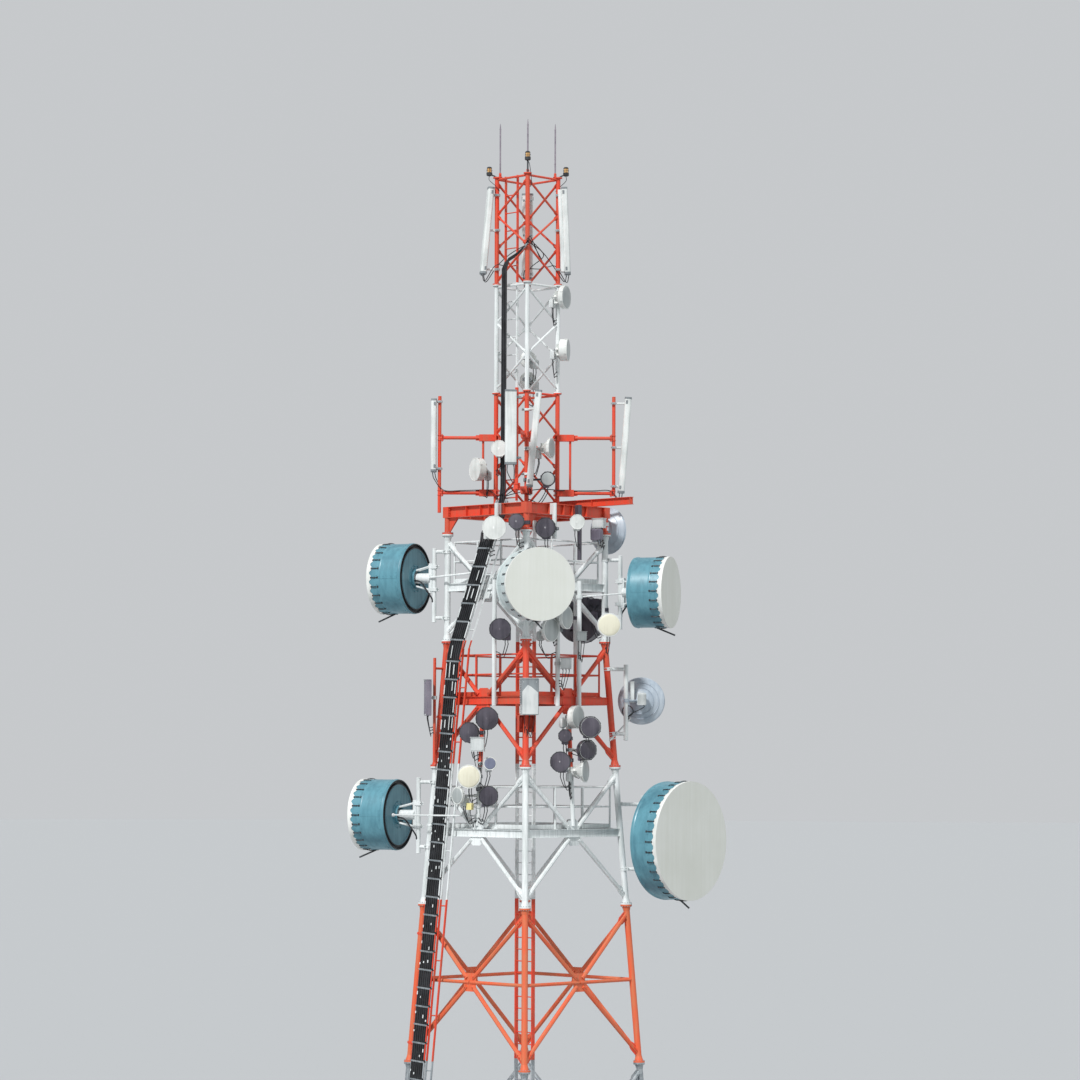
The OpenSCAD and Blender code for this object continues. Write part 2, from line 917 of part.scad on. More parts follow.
// The cables come up out of the ground clear of the base plate and lean in to the cable ladder
cable_foot = 20;
cable_foot_out = cable_out + 300;
cable_rise = 1100;
// A point beside the near-left face: x out from it, y along it from its middle
function beside(x, y, z) = x * heading(5 * corner_turn) + y * heading(7 * corner_turn) + [0, 0, z];
function feeder(t) =
    let (spread = 0.9 * (t - tray_first - tray_w / 2))
    [
        tray_at(t, cable_foot_out, cable_foot),
        tray_at(t, cable_out, cable_rise),
        tray_at(t, cable_out, tray_bend - 150),
        tray_up(t, cable_out, tray_bend + 150),
        tray_up(t, cable_out, tray_top),
        beside(apothem(z_seat) + 90, 120 + spread, z_seat - 30),
        beside(apothem(z_seat) - 180, 40 + spread, z_seat + 270),
        beside(1000, -20 + spread, z_seat + 390),
        beside(850, -85 + spread, z_mast - 100),
        beside(820, -85 + spread, z_mast + 60)
    ];
// The rest of the route of the three middle cables, which climb the mast
function mast_feeder(s) = [
    [-600, -500, z_mast + 500] + s * [1, -1, 0],
    [-590, -500, z_mast_red - 300] + s * [1, -1, 0],
    [-590, -500, z_mast_red + 350] + s * [1, -1, 0],
    [-520, -540, z_mast_red + 560] + s * [1, -1, 1],
    [-300, -700, z_mast_red + 680] + s * [1, -1, 1],
    [-90, -860, z_mast_red + 860] + s * [1, -1, 1]
];

module feeder_cables() {
    pitch = (tray_w - 2 * cable_edge) / (cable_count - 1);
    color(black)
        for (k = [0:cable_count - 1]) {
            route = feeder(tray_first + cable_edge + k * pitch);
            from_middle = k - floor(cable_count / 2);
            if (abs(from_middle) > 1)
                cable(route, [0, 1, 2, 4, 6, 9]);
            else
                cable(concat(route, mast_feeder(from_middle * mast_feeder_step)),
                      [0, 1, 2, 4, 6, 9, 10, 12, 15]);
        }
}

// Antenna frame on the lower mast section

// Each arm's bearing and how far its pole reaches below the lower arm
arm_list = [[0, 60], [180, 500], [260, 60]];
arm_pole_over = 1060;
arm_post_out = 1120;
arm_post_d = 60;
sleeve_l = 430;

function arm_foot(bearing) = mast_spread * heading(round(bearing / 90) * 90);
function arm_end(bearing) = arm_foot(bearing) + (arm_reach - mast_spread) * heading(bearing);
function arm_level(k) = z_mast + arm_low_z + k * arm_step;

module sleeve() {
    inside = sleeve_w - 2 * sleeve_wall;
    translate([0, -sleeve_w / 2, -sleeve_w / 2])
        difference() {
            cube([sleeve_l, sleeve_w, sleeve_w]);
            translate([sleeve_wall, sleeve_wall, sleeve_wall])
                cube([sleeve_l - 2 * sleeve_wall, inside, inside]);
        }
}

// A box sleeve on the mast leg and the tube that reaches from it to the end pole
module cross_arm(bearing, z) {
    foot = arm_foot(bearing) + [0, 0, z];
    tip = arm_end(bearing) + [0, 0, z];
    difference() {
        union() {
            difference() {
                bar(foot, tip, arm_d, 24);
                bar(foot, tip, arm_d - 2 * pole_wall, 24);
            }
            translate(foot)
                rotate(bearing)
                    sleeve();
        }
        for (tube = [[foot, mast_leg_d], [tip, arm_pole_d]])
            translate(tube[0] - [0, 0, sleeve_w])
                cylinder(h = 2 * sleeve_w, d = tube[1] + 2 * fit);
    }
}

module antenna_arm(bearing, under) {
    for (k = [0, 1])
        cross_arm(bearing, arm_level(k));
    translate(arm_end(bearing) + [0, 0, arm_level(0) - under])
        tube([0, 0, 0], arm_step + under + arm_pole_over, arm_pole_d, pole_wall);
    // A post between the arms, except where the slim panel stands
    if (bearing != 260)
        translate(arm_foot(bearing) + (arm_post_out - mast_spread) * heading(bearing)
                  + [0, 0, arm_level(0) + arm_d / 2 + fit])
            cylinder(h = arm_step - arm_d - 2 * fit, d = arm_post_d);
}

module antenna_frame() {
    color(red)
        for (a = arm_list)
            antenna_arm(a[0], a[1]);
}

// Panel antennas

module rounded_bar(t, w, h, r) {
    linear_extrude(h) {
        square([t, w - 2 * r], center = true);
        square([t - 2 * r, w], center = true);
        for (x = [-1, 1], y = [-1, 1])
            translate([x * (t / 2 - r), y * (w / 2 - r)])
                circle(r);
    }
}

// A panel whose top leans by the given angle towards its bearing, with clamps to an upright tube
module panel(foot, bearing, lean, t, w, h, tube, tube_size, levels) {
    difference() {
        union() {
            translate(foot)
                rotate([0, lean, bearing])
                    rounded_bar(t, w, h, min(t, w) * 0.3);
            for (z = levels) {
                at = (z - foot.z) / h;
                middle = foot + at * h * [sin(lean) * cos(bearing), sin(lean) * sin(bearing), 0];
                bar([tube.x, tube.y, z], [middle.x, middle.y, z], 56);
                translate([tube.x, tube.y, z - 30])
                    cylinder(h = 60, d = tube_size + 50);
            }
        }
        translate([tube.x, tube.y, foot.z - 500])
            cylinder(h = h + 1000, d = tube_size + 2 * fit);
    }
}

left_pole = arm_end(180);
right_pole = arm_end(0);
near_pole = arm_end(260);
panel_foot_z = arm_level(0) + 560;

module sector_panels() {
    color(panel_grey) {
        panel([left_pole.x - 150, 0, panel_foot_z], 180, 0, sector_panel_t, sector_panel_w, sector_panel_h,
              left_pole, arm_pole_d, [panel_foot_z + 60, panel_foot_z + sector_panel_h - 60]);
        panel([near_pole.x - 150, near_pole.y - 170, panel_foot_z], 280, 0, sector_panel_t, sector_panel_w,
              sector_panel_h, near_pole, arm_pole_d, [panel_foot_z + 160, panel_foot_z + sector_panel_h - 160]);
        panel([right_pole.x + 190, 0, arm_level(0) + 30], 0, 4.3, slim_panel_w, slim_panel_w, slim_panel_h,
              right_pole, arm_pole_d, [arm_level(0) + 180, arm_level(1) - 240, arm_level(1) + 900]);
        panel([70, -1100, arm_level(0) + sleeve_w / 2 + 15], 0, 5.4, slim_panel_w, slim_panel_w, slim_panel_h,
              [0, -mast_spread, 0], mast_leg_d, [arm_level(0) + 430, arm_level(1) + 660]);
    }
}

module top_panels() {
    foot_z = z_mast_top - top_panel_h - 270;
    clamps = [foot_z + 100, foot_z + top_panel_h * 0.5, foot_z + top_panel_h - 200];
    color(white) {
        panel([-1140, -60, foot_z], 190, -5, top_panel_t, top_panel_w, top_panel_h,
              [-mast_spread, 0, 0], mast_leg_d, clamps);
        panel([1040, 0, foot_z], 0, -2.5, top_panel_t, top_panel_w, top_panel_h,
              [mast_spread, 0, 0], mast_leg_d, clamps);
        panel([0, 1040, foot_z], 90, 0, top_panel_t, top_panel_w, top_panel_h,
              [0, mast_spread, 0], mast_leg_d, clamps);
    }
}

// Lightning rods and warning lamps

module lightning_rods() {
    color(red)
        for (i = [0:3])
            translate((mast_spread - 80) * heading(90 * i) + [0, 0, z_mast_top]) {
                cylinder(h = rod_h - 150, d = rod_d);
                translate([0, 0, rod_h - 150])
                    cylinder(h = 150, d1 = rod_d, d2 = rod_d / 4);
            }
}

module lamp() {
    cylinder(h = 40, d = lamp_d);
    translate([0, 0, 40])
        cylinder(h = lamp_h, d = lamp_d * 0.84);
    translate([0, 0, 40 + lamp_h])
        cylinder(h = 30, d1 = lamp_d * 0.9, d2 = lamp_d * 0.5);
}

module warning_lamps() {
    color("orange") {
        for (side = [-1, 1]) {
            foot = [side * (mast_spread + 40), 0, z_mast_top];
            lamp_foot = [side * (mast_spread + 200), 0, z_mast_top + 80];
            translate(foot)
                cylinder(h = 20, d = 60);
            bar(foot + [0, 0, 18], lamp_foot + [0, 0, 10], 34);
            translate(lamp_foot)
                lamp();
        }
        translate([0, -mast_spread - 60, z_mast_top]) {
            cylinder(h = 350, d = 40);
            translate([0, 0, 350])
                lamp();
        }
    }
}

// Poles that hold the dishes

// A half clamp on the outer side of a leg, in the direction of a bearing
module leg_clamp(i, z, bearing) {
    along(leg_at(i, z - clamp_h / 2), leg_at(i, z + clamp_h / 2))
        intersection() {
            cylinder(h = clamp_h, d = leg_d + 2 * clamp_t);
            turned = leg_lean > 0 && z < z_white_high ? bearing - 90 * i - 180 : bearing;
            rotate(turned)
                translate([0, -leg_d, 0])
                    cube([leg_d, 2 * leg_d, clamp_h]);
        }
}

// An upright pole held off leg i by level arms
module held_pole(i, at, z0, z1, levels) {
    difference() {
        union() {
            translate([at.x, at.y, z0])
                cylinder(h = z1 - z0, d = pole_d);
            for (z = levels) {
                bar(leg_at(i, z), [at.x, at.y, z], stand_off_d, 24);
                leg_clamp(i, z, 90 * i);
            }
        }
        leg_line(i, z0 - 500, z1 + 500, fit);
        translate([at.x, at.y, z0 - 1])
            cylinder(h = z1 - z0 + 2, d = pole_d - 2 * pole_wall);
    }
}

// Drum dishes: a shrouded drum on a pole, its boresight level along a bearing

// Levels of the drums and of the open dish beside the right leg
z_ul = z_seat - 1130;
z_ur = z_seat - 1490;
z_front = z_seat - 1430;
z_ll = z_red_high - 1240;
z_lr = z_red_high - 1860;
z_rd = z_white_high - 1500;
// Place of each drum: [pole, height, boresight, reach from pole to back, diameter, depth]
pole_ul = leg_at(2, z_seat) - [340, 0, 0];
pole_ur = leg_at(0, z_seat) + [390, 0, 0];
pole_front = leg_at(3, z_seat) - [0, 310, 0];
pole_ll = leg_at(2, z_ll) - [340, 0, 0];
pole_lr = leg_at(0, z_lr) + [560, 0, 0];
pole_rd = leg_at(0, z_rd) + [420, 0, 0];
spot_ul = [pole_ul, z_ul, 154.5, 530, drum_d, drum_depth_ul];
spot_ur = [pole_ur, z_ur, -18.3, 430, drum_d, drum_depth_ur];
spot_front = [pole_front, z_front, -70.7, 300, drum_d, drum_depth_front];
spot_ll = [pole_ll, z_ll, 155.5, 560, drum_d, drum_depth_ll];
spot_lr = [pole_lr, z_lr, -39.1, 730, big_drum_d, big_drum_depth];
spots = [spot_ul, spot_ur, spot_front, spot_ll, spot_lr];

hub_pocket = 200;
hub_ring_w = 40;
hub_proud = 60;
rim_w = 30;
rim_groove = 70;
// Thickness of the drum's sheet with its stiffeners
skin_t = 4;

// Frame of a drum: origin on its pole's axis, Z along the boresight, X down
module at_spot(s) {
    translate([s[0].x, s[0].y, s[1]])
        rotate([0, 90, s[2]])
            children();
}

// A sheet shell: pocket for the hub, flat back, stiffening groove and shroud, open to the radome
module drum_shell(r, depth) {
    hub_r = hub_ring_d / 2;
    pocket_r = hub_r - hub_ring_w;
    groove_r = r - rim_w - rim_groove;
    rotate_extrude($fn = 64)
        polygon([[0, hub_pocket], [pocket_r, hub_pocket], [pocket_r, -hub_proud],
                 [hub_r, -hub_proud], [hub_r, 0], [groove_r, 0],
                 [groove_r, hub_proud], [r - rim_w, hub_proud], [r - rim_w, 0],
                 [r, 0], [r, depth], [r - skin_t, depth], [r - skin_t, hub_proud + skin_t],
                 [groove_r - skin_t, hub_proud + skin_t], [groove_r - skin_t, skin_t],
                 [pocket_r + skin_t, skin_t], [pocket_r + skin_t, hub_pocket + skin_t],
                 [0, hub_pocket + skin_t]]);
}

module drum(s) {
    color(teal)
        at_spot(s)
            translate([0, 0, s[3]])
                drum_shell(s[4] / 2, s[5]);
}

module drum_upper_left() {
    drum(spot_ul);
}

module drum_upper_right() {
    drum(spot_ur);
}

module drum_front() {
    drum(spot_front);
}

module drum_lower_left() {
    drum(spot_ll);
}

module drum_lower_right() {
    drum(spot_lr);
}

// The radome is a flat sheet in a hoop that grips the drum's front rim
module radome(s) {
    r = s[4] / 2 + fit;
    face = s[3] + s[5] + fit;
    at_spot(s)
        rotate_extrude($fn = 64)
            polygon([[0, face], [r, face], [r, face - hoop_w], [r + hoop_t, face - hoop_w],
                     [r + hoop_t, face + radome_t], [0, face + radome_t]]);
}

module drum_radomes() {
    color(cream)
        for (s = spots)
            radome(s);
}

hub_tube_d = 260;
hub_tube_wall = 10;
hub_bore_d = 110;
spine_w = 130;
spine_h = 760;

// Hub tube, upright spine and two clamps round the pole
module drum_mount(s) {
    grip = pole_d / 2 + clamp_t;
    seat = pole_d / 2 + 3 * clamp_t;
    disc = s[3] + hub_pocket - 40;
    at_spot(s)
        difference() {
            union() {
                translate([0, 0, grip])
                    cylinder(h = s[3] + hub_pocket - fit - grip, d = hub_tube_d);
                translate([0, 0, disc])
                    cylinder(h = 40 - fit, d = hub_ring_d - 2 * hub_ring_w - 20);
                translate([-spine_h / 2, -spine_w / 2, pole_d / 2 - clamp_t])
                    cube([spine_h, spine_w, clamp_t * 4]);
                for (side = [-1, 1])
                    translate([side * (spine_h / 2 - clamp_h) - clamp_h / 2, -grip, -grip])
                        cube([clamp_h, 2 * grip, 2 * grip]);
            }
            translate([-spine_h, 0, 0])
                rotate([0, 90, 0])
                    cylinder(h = 2 * spine_h, d = pole_d + 2 * fit);
            // The hub tube is open towards the drum for the waveguide
            translate([0, 0, seat])
                cylinder(h = disc - seat, d = hub_tube_d - 2 * hub_tube_wall);
            translate([0, 0, disc - 1])
                cylinder(h = 42, d = hub_bore_d);
        }
}

module drum_mounts() {
    color(white)
        for (s = spots)
            drum_mount(s);
}

// Carriers: tubes that dishes are clamped to, as [lower end, upper end, diameter]

function face_mid(i, z) = (leg_at(i, z) + leg_at(i + 1, z)) / 2;
// Distance of the outer poles from the tower's axis, clear of the beams
outer_line = apothem(z_deck_middle) + beam_b / 2 + brace_gap + pole_d / 2;
function outer_at(i, along_face, z) =
    outer_line * heading(90 * i + corner_turn) + along_face * heading(90 * i + 3 * corner_turn) + [0, 0, z];
mid_pole_end = beam_h / 2 + 80;
outer_foot = z_deck_middle - beam_h / 2 - 40;
outer_head = z_deck_high + beam_h / 2 + 40;
top_foot = z_seat - 200;

left_mid = [face_mid(2, z_deck_low + mid_pole_end), face_mid(2, z_deck_middle - mid_pole_end), pole_d];
right_mid = [face_mid(3, z_deck_low + mid_pole_end), face_mid(3, z_deck_middle - mid_pole_end), pole_d];
left_outer = [outer_at(2, 510, outer_foot), outer_at(2, 510, outer_head), pole_d];
near_outer = [outer_at(3, -510, outer_foot), outer_at(3, -510, outer_head), pole_d];
right_outer = [outer_at(3, 270, outer_foot), outer_at(3, 270, outer_head), pole_d];
rear_outer = [outer_at(0, -180, outer_foot), outer_at(0, -180, outer_head), pole_d];
left_top = [outer_at(2, 580, top_foot), outer_at(2, 580, z_mast), pole_d];
near_top = [outer_at(3, -640, top_foot), outer_at(3, -640, z_mast), pole_d];
right_top = [outer_at(3, 270, top_foot - 500), outer_at(3, 270, z_mast), pole_d];
// A fourth value makes the clamp a half ring that faces this bearing
right_leg = [leg_at(0, z_white_high), leg_at(0, z_mast), leg_d, 0];
near_leg = [leg_at(3, z_seat), leg_at(3, z_mast), leg_d, -90];
near_leg_low = [leg_at(3, z_red_high), leg_at(3, z_white_high), leg_d];
side_pole_at = [-leg_spread(z_white_high) - 310, -250, 0];
side_pole = [side_pole_at + [0, 0, z_red_high + 100], side_pole_at + [0, 0, z_white_high - 430], 76];
mast_right = [mast_leg_at(0, z_mast), mast_leg_at(0, z_mast_top), mast_leg_d];
mast_left = [mast_leg_at(2, z_mast), mast_leg_at(2, z_mast_top), mast_leg_d];
mast_near = [mast_leg_at(3, z_mast), mast_leg_at(3, z_mast_top), mast_leg_d];
mast_rear = [mast_leg_at(1, z_mast), mast_leg_at(1, z_mast_top), mast_leg_d];
left_post = [[-arm_post_out, 0, arm_level(0)], [-arm_post_out, 0, arm_level(1)], arm_post_d];

function carrier_at(c, z) = mix(c[0], c[1], (z - c[0].z) / (c[1].z - c[0].z));

// Sway struts steady a drum from a pad on its back

// A point on a drum's back: r to its side and up above its middle
function back_point(s, r, up) =
    [s[0].x, s[0].y, s[1] + up] + s[3] * heading(s[2]) + r * heading(s[2] + 90);

strut_d = 42;
strut_pad_d = 90;

// From a pad on the drum's back to a ring clamp on carrier c at level z
module sway_strut(s, r, up, c, z) {
    out = heading(s[2]);
    pad = back_point(s, r, up) - fit * out;
    held_by(c, z, pad - strut_pad_d / 3 * out, 0, strut_d)
        bar(pad - strut_pad_d * 2 / 3 * out, pad, strut_pad_d, 24);
}

// Upright poles on the tower

module mid_pole(i, c, z0, z1) {
    difference() {
        tube_line(carrier_at(c, z0), carrier_at(c, z1), pole_d);
        for (z = [z_deck_low, z_deck_middle])
            gusset(i, face_mid(i, z), beam_h / 2 + gusset_h - brace_gap, fit);
    }
}

// An outer pole is bolted to the edges of the beams it passes: [level, depth, width]
deck_beams = [[z_deck_middle, beam_h, beam_b], [z_deck_high, beam_h, beam_b]];
top_beams = [[z_seat_beam, seat_beam_h, seat_beam_b]];

module outer_pole(i, c, beams) {
    tube(c[0], c[1].z - c[0].z, pole_d, pole_wall);
    for (b = beams) {
        gap = outer_line - apothem(b[0]) - b[2] / 2 - fit;
        translate([c[0].x, c[0].y, b[0]])
            rotate(90 * i + corner_turn)
                translate([-gap, -40, -b[1] / 2])
                    cube([gap, 80, b[1]]);
    }
}

module white_poles() {
    color(white) {
        held_pole(2, pole_ul, z_ul - 1120, z_ul + 750, [z_ul - 1020, z_ul + 680]);
        held_pole(0, pole_ur, z_ur - 920, z_ur + 940, [z_ur - 610, z_ur + 840]);
        held_pole(3, pole_front, z_front - 820, z_front + 880, [z_front - 670, z_front + 730]);
        held_pole(2, pole_ll, z_ll - 960, z_ll + 940, [z_ll - 810, z_ll + 840]);
        held_pole(0, pole_lr, z_lr - 1040, z_lr + 1110, [z_lr - 740, z_lr + 910]);
        held_pole(0, pole_rd, z_rd - 1000, z_rd + 900, [z_rd - 850, z_rd + 800]);
        mid_pole(2, left_mid, left_mid[0].z, z_red_high);
        mid_pole(3, right_mid, right_mid[0].z, z_red_high);
        sway_strut(spot_ll, 385, 0, left_mid, z_ll);
        sway_strut(spot_ur, -640, -40, right_outer, z_ur - 150);
        outer_pole(2, left_outer, deck_beams);
        outer_pole(3, near_outer, deck_beams);
        outer_pole(3, right_outer, deck_beams);
        outer_pole(0, rear_outer, deck_beams);
        outer_pole(2, left_top, top_beams);
        outer_pole(3, near_top, top_beams);
    }
}

module red_poles() {
    color(red) {
        mid_pole(2, left_mid, z_red_high + fit, left_mid[1].z);
        mid_pole(3, right_mid, z_red_high + fit, right_mid[1].z);
        difference() {
            union() {
                tube_line(side_pole[0], side_pole[1], side_pole[2]);
                for (z = [side_pole[0].z + 300, side_pole[1].z - 270])
                    bar(leg_at(2, z), carrier_at(side_pole, z), 60, 24);
            }
            leg_line(2, z_red_high, z_white_high, fit);
        }
    }
}

// Small dishes

dish_arm_d = 56;

module half_ring(d, bearing) {
    intersection() {
        cylinder(h = clamp_h, d = d + 2 * clamp_t);
        rotate(bearing)
            translate([0, -d, 0])
                cube([d, 2 * d, clamp_h]);
    }
}

// Ring clamp round a carrier and the arm to whatever it holds
module held_by(c, z, to, lift = 0, d = dish_arm_d) {
    p = carrier_at(c, z + lift);
    difference() {
        union() {
            children();
            bar(p, to, d);
            translate(p - [0, 0, clamp_h / 2])
                if (len(c) > 3)
                    half_ring(c[2], c[3]);
                else
                    cylinder(h = clamp_h, d = c[2] + 2 * clamp_t);
        }
        tube_line(c[0] - [0, 0, 1], c[1] + [0, 0, 1], c[2] + 2 * fit);
    }
}

module dish_body(d, depth, shroud) {
    r = d / 2;
    rotate_extrude()
        polygon([[0, -depth], [dish_arm_d + 14, -depth], [dish_arm_d + 14, 60 - depth],
                 [r, -shroud], [r, -24], [r + 6, -24], [r + 6, 0], [r - 20, 0], [0, r / 12]]);
}

// Places in plan are drawn for a top spread of 2020 and move with it
function on_plan(p, z) = [p.x, p.y, 0] * top_spread / 2020 + [0, 0, z];

// A dish by its face: [carrier, height, face centre, bearing, diameter, depth, shroud, lift]
module small_dish(e) {
    face = on_plan(e[2], e[1]);
    held_by(e[0], e[1], face - (e[5] - 20) * heading(e[3]), e[7])
        translate(face)
            rotate([0, 90, e[3]])
                dish_body(e[4], e[5], e[6]);
}

pale_list = [
    [left_mid, z_red_high - 250, [-1420, -1650], -95, dish_d - 20, 260, dish_shroud, 0],
    [left_mid, z_red_high + 80, [-890, -1750], -80, mini_dish_d, 190, 60, 0],
    [left_mid, z_red_high - 730, [-1720, -1480], -140, 420, 200, 80, 0],
    [right_mid, z_red_high + 1260, [1330, -1410], -33, 560, 300, 160, 0],
    [right_mid, z_red_high + 1000, [1630, -1900], -75, 530, 240, dish_shroud, 0],
    [right_mid, z_red_high + 430, [1570, -1620], -60, 500, 240, dish_shroud, 0],
    [right_mid, z_red_high - 100, [1520, -1360], -19, 560, 330, 40, 0],
    [right_leg, z_white_high + 400, [2110, -980], -88, dish_d - 20, 260, dish_shroud, 60],
    [near_outer, z_white_high + 240, [640, -1920], -39, dish_d, 300, 90, 0],
    [near_outer, z_white_high + 550, [1040, -1800], -30, 560, 280, 90, 0],
    [left_top, z_seat + 50, [-810, -2000], -92, dish_d - 20, 260, dish_shroud, 0],
    [right_top, z_seat + 200, [1280, -1980], -85, mini_dish_d + 40, 200, 70, 0],
    [mast_right, z_mast_white + 2450, [1010, -330], -22, dish_d, 330, 120, 0],
    [left_post, z_mast + 950, [-1330, -330], -151, dish_d - 20, 330, 190, 0],
    [mast_left, z_mast + 1450, [-700, -800], -90, 400, 200, 80, 0],
    [mast_near, z_mast + 1450, [640, -960], -20, 500, 300, 60, 0]
];

dark_list = [
    [left_mid, z_red_high + 1210, [-970, -1740], -85, 560, 230, 110, -60],
    [left_mid, z_red_high + 860, [-1430, -1500], -110, 500, 200, 90, 0],
    [left_mid, z_red_high - 730, [-920, -1910], -75, 480, 230, 90, 160],
    [right_mid, z_red_high + 780, [990, -1650], -90, mini_dish_d, 190, 60, -60],
    [right_mid, z_red_high + 130, [870, -1890], -100, 500, 230, 90, 40],
    [right_leg, z_white_high + 820, [1820, 800], 75, 640, 260, dish_shroud, 0],
    [rear_outer, z_white_high + 650, [1500, 1800], 60, 1250, 450, 260, 0],
    [left_outer, z_white_high + 250, [-650, -1940], -88, 530, 230, 100, 0],
    [near_top, z_seat + 50, [480, -2010], -95, 500, 230, 90, 0],
    [near_leg, z_seat + 180, [-250, -2420], -95, 380, 200, 60, 0],
    [mast_right, z_mast_white + 1100, [1060, -200], -10, 560, 320, 200, 0],
    [mast_rear, z_mast_white + 1000, [30, 1150], 90, 420, 200, 80, 0],
    [mast_rear, z_mast_white + 450, [30, 1150], 90, 420, 200, 80, 0],
    [mast_near, z_mast + 650, [540, -1130], -80, 360, 180, 60, 0]
];

module pale_dishes() {
    color(white)
        for (e = pale_list)
            small_dish(e);
}

module dark_dishes() {
    color(black) {
        for (e = dark_list)
            small_dish(e);
        outer_pole(3, right_top, top_beams);
    }
}

// The two larger dishes are open in front, with a feed in the middle
module open_dish(c, z, rim, bearing, lift) {
    r = open_dish_d / 2;
    depth = 340;
    wall = 22;
    hub = on_plan(rim, z) - (depth + 60) * heading(bearing);
    held_by(c, z, hub + 40 * heading(bearing), lift)
        translate(on_plan(rim, z))
            rotate([0, 90, bearing])
                rotate_extrude()
                    polygon([[0, -depth - 60], [110, -depth - 60], [110, -depth + 20],
                             [r * 0.55, -depth * 0.62],
                             [r, -30], [r, 30], [r - wall, 30], [r - wall, -30],
                             [r * 0.55 - wall, -depth * 0.62 + wall], [110, -depth + 60], [45, -depth + 70],
                             [45, -40], [90, -20], [90, 0], [0, 0]]);
}

module right_dish() {
    color(white) {
        open_dish([[pole_rd.x, 0, z_rd - 1000], [pole_rd.x, 0, z_rd + 900], pole_d], z_rd, [2980, 550], 83, 0);
        open_dish([right_leg[0], right_leg[1], leg_d, 35], z_seat + 150, [2120, 750], 47, 0);
    }
}

// Radio units and small boxes: [carrier, height, middle, bearing, size out, across and up, lift]
radio_list = [
    [left_mid, z_red_high + 560, [-1200, -1830], -100, [150, 340, 340], 0],
    [left_mid, z_red_high - 1000, [-1380, -1420], -120, [100, 110, 130], 0],
    [right_outer, z_white_high + 100, [1400, -1260], -80, [130, 250, 220], 0],
    [near_outer, z_white_high - 600, [1010, -1640], -95, [220, 260, 260], 0],
    [near_leg_low, z_white_high - 1450, [90, -2480], -80, [200, 430, 900], -250],
    [side_pole, z_white_high - 1450, [-2500, -330], 190, [130, 280, 900], 0],
    [[right_leg[0], right_leg[1], leg_d, -35], z_seat + 270, [1860, -420], -120, [160, 320, 230], 0]
];

module radio_unit(e) {
    middle = on_plan(e[2], e[1]);
    held_by(e[0], e[1], middle, e[5])
        translate(middle)
            rotate(e[3])
                translate(-e[4] / 2)
                    cube(e[4]);
}

module radio_units() {
    color(panel_grey)
        for (e = radio_list)
            radio_unit(e);
}

base_plates();
legs_base();
bracing_base();
legs_red_low();
bracing_red_low();
legs_white_low();
bracing_white_low();
legs_red_high();
bracing_red_high();
legs_white_high();
bracing_white_high();
platform_low();
platform_middle();
platform_high();
platform_gratings();
railing_low();
railing_middle();
railing_high();
mast_seat();
mast_red_low();
mast_white();
mast_red_high();
mast_ladder();
access_ladder();
cable_ladder();
feeder_cables();
antenna_frame();
sector_panels();
top_panels();
lightning_rods();
warning_lamps();
drum_upper_left();
drum_upper_right();
drum_front();
drum_lower_left();
drum_lower_right();
drum_radomes();
drum_mounts();
white_poles();
red_poles();
right_dish();
pale_dishes();
dark_dishes();
radio_units();
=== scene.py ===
"""Looks of a four-legged lattice tower for microwave and cellular antennas."""
import math
import random

import bpy
from mathutils import Matrix, Vector


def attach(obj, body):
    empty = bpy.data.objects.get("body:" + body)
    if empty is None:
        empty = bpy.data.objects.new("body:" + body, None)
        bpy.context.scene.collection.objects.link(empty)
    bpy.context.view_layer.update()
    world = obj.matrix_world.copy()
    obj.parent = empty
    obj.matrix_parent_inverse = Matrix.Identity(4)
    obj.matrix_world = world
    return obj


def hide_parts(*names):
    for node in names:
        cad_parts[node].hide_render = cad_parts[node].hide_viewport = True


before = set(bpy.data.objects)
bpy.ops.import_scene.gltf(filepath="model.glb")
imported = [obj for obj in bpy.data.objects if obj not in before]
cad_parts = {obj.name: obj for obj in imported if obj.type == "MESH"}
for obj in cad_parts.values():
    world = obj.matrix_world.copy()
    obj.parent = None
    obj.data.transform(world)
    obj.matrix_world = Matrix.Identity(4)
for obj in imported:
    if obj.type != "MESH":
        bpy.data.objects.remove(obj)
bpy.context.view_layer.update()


# Camera: the photograph was taken with a long lens from a height of about 17 m,
# 91 m away from the tower, looking slightly up.


def spin(angle, axis="Z"):
    """A turn about an axis by an angle in degrees."""
    return Matrix.Rotation(math.radians(angle), 4, axis)


def shift(x, y, z):
    """A move without a turn."""
    return Matrix.Translation((x, y, z))


distance, eye_height = 91.0, 17.0
pitch, yaw, roll = 3.53, -0.221, 0.2
optics = bpy.data.cameras.new("camera")
optics.sensor_width, optics.lens, optics.clip_end = 36.0, 118.3, 2000.0
camera = bpy.data.objects.new("camera", optics)
camera.matrix_world = (shift(0.0, -distance, eye_height) @ spin(yaw) @ spin(90 + pitch, "X")
                       @ spin(roll))
scene = bpy.context.scene
scene.collection.objects.link(camera)
scene.camera = camera
scene.view_settings.view_transform = "Standard"


# Studio: a pale floor that fades into an even pale background, with a key lamp high
# on the left as the sun stands in the photograph, and a weak wide fill lamp.


def linear(code):
    """A material colour from its sRGB hex value."""
    channels = [int(code[k:k + 2], 16) / 255 for k in (0, 2, 4)]
    return (*[c / 12.92 if c <= 0.04045 else ((c + 0.055) / 1.055) ** 2.4 for c in channels], 1.0)


def new_material(name, metallic=0.0):
    """A fresh material with its tree, its principled shader and the place on the object."""
    material = bpy.data.materials.new(name)
    material.use_nodes = True
    tree = material.node_tree
    shader = tree.nodes["Principled BSDF"]
    shader.inputs["Metallic"].default_value = metallic
    return material, tree, shader, add_node(tree, "ShaderNodeTexCoord").outputs["Object"]


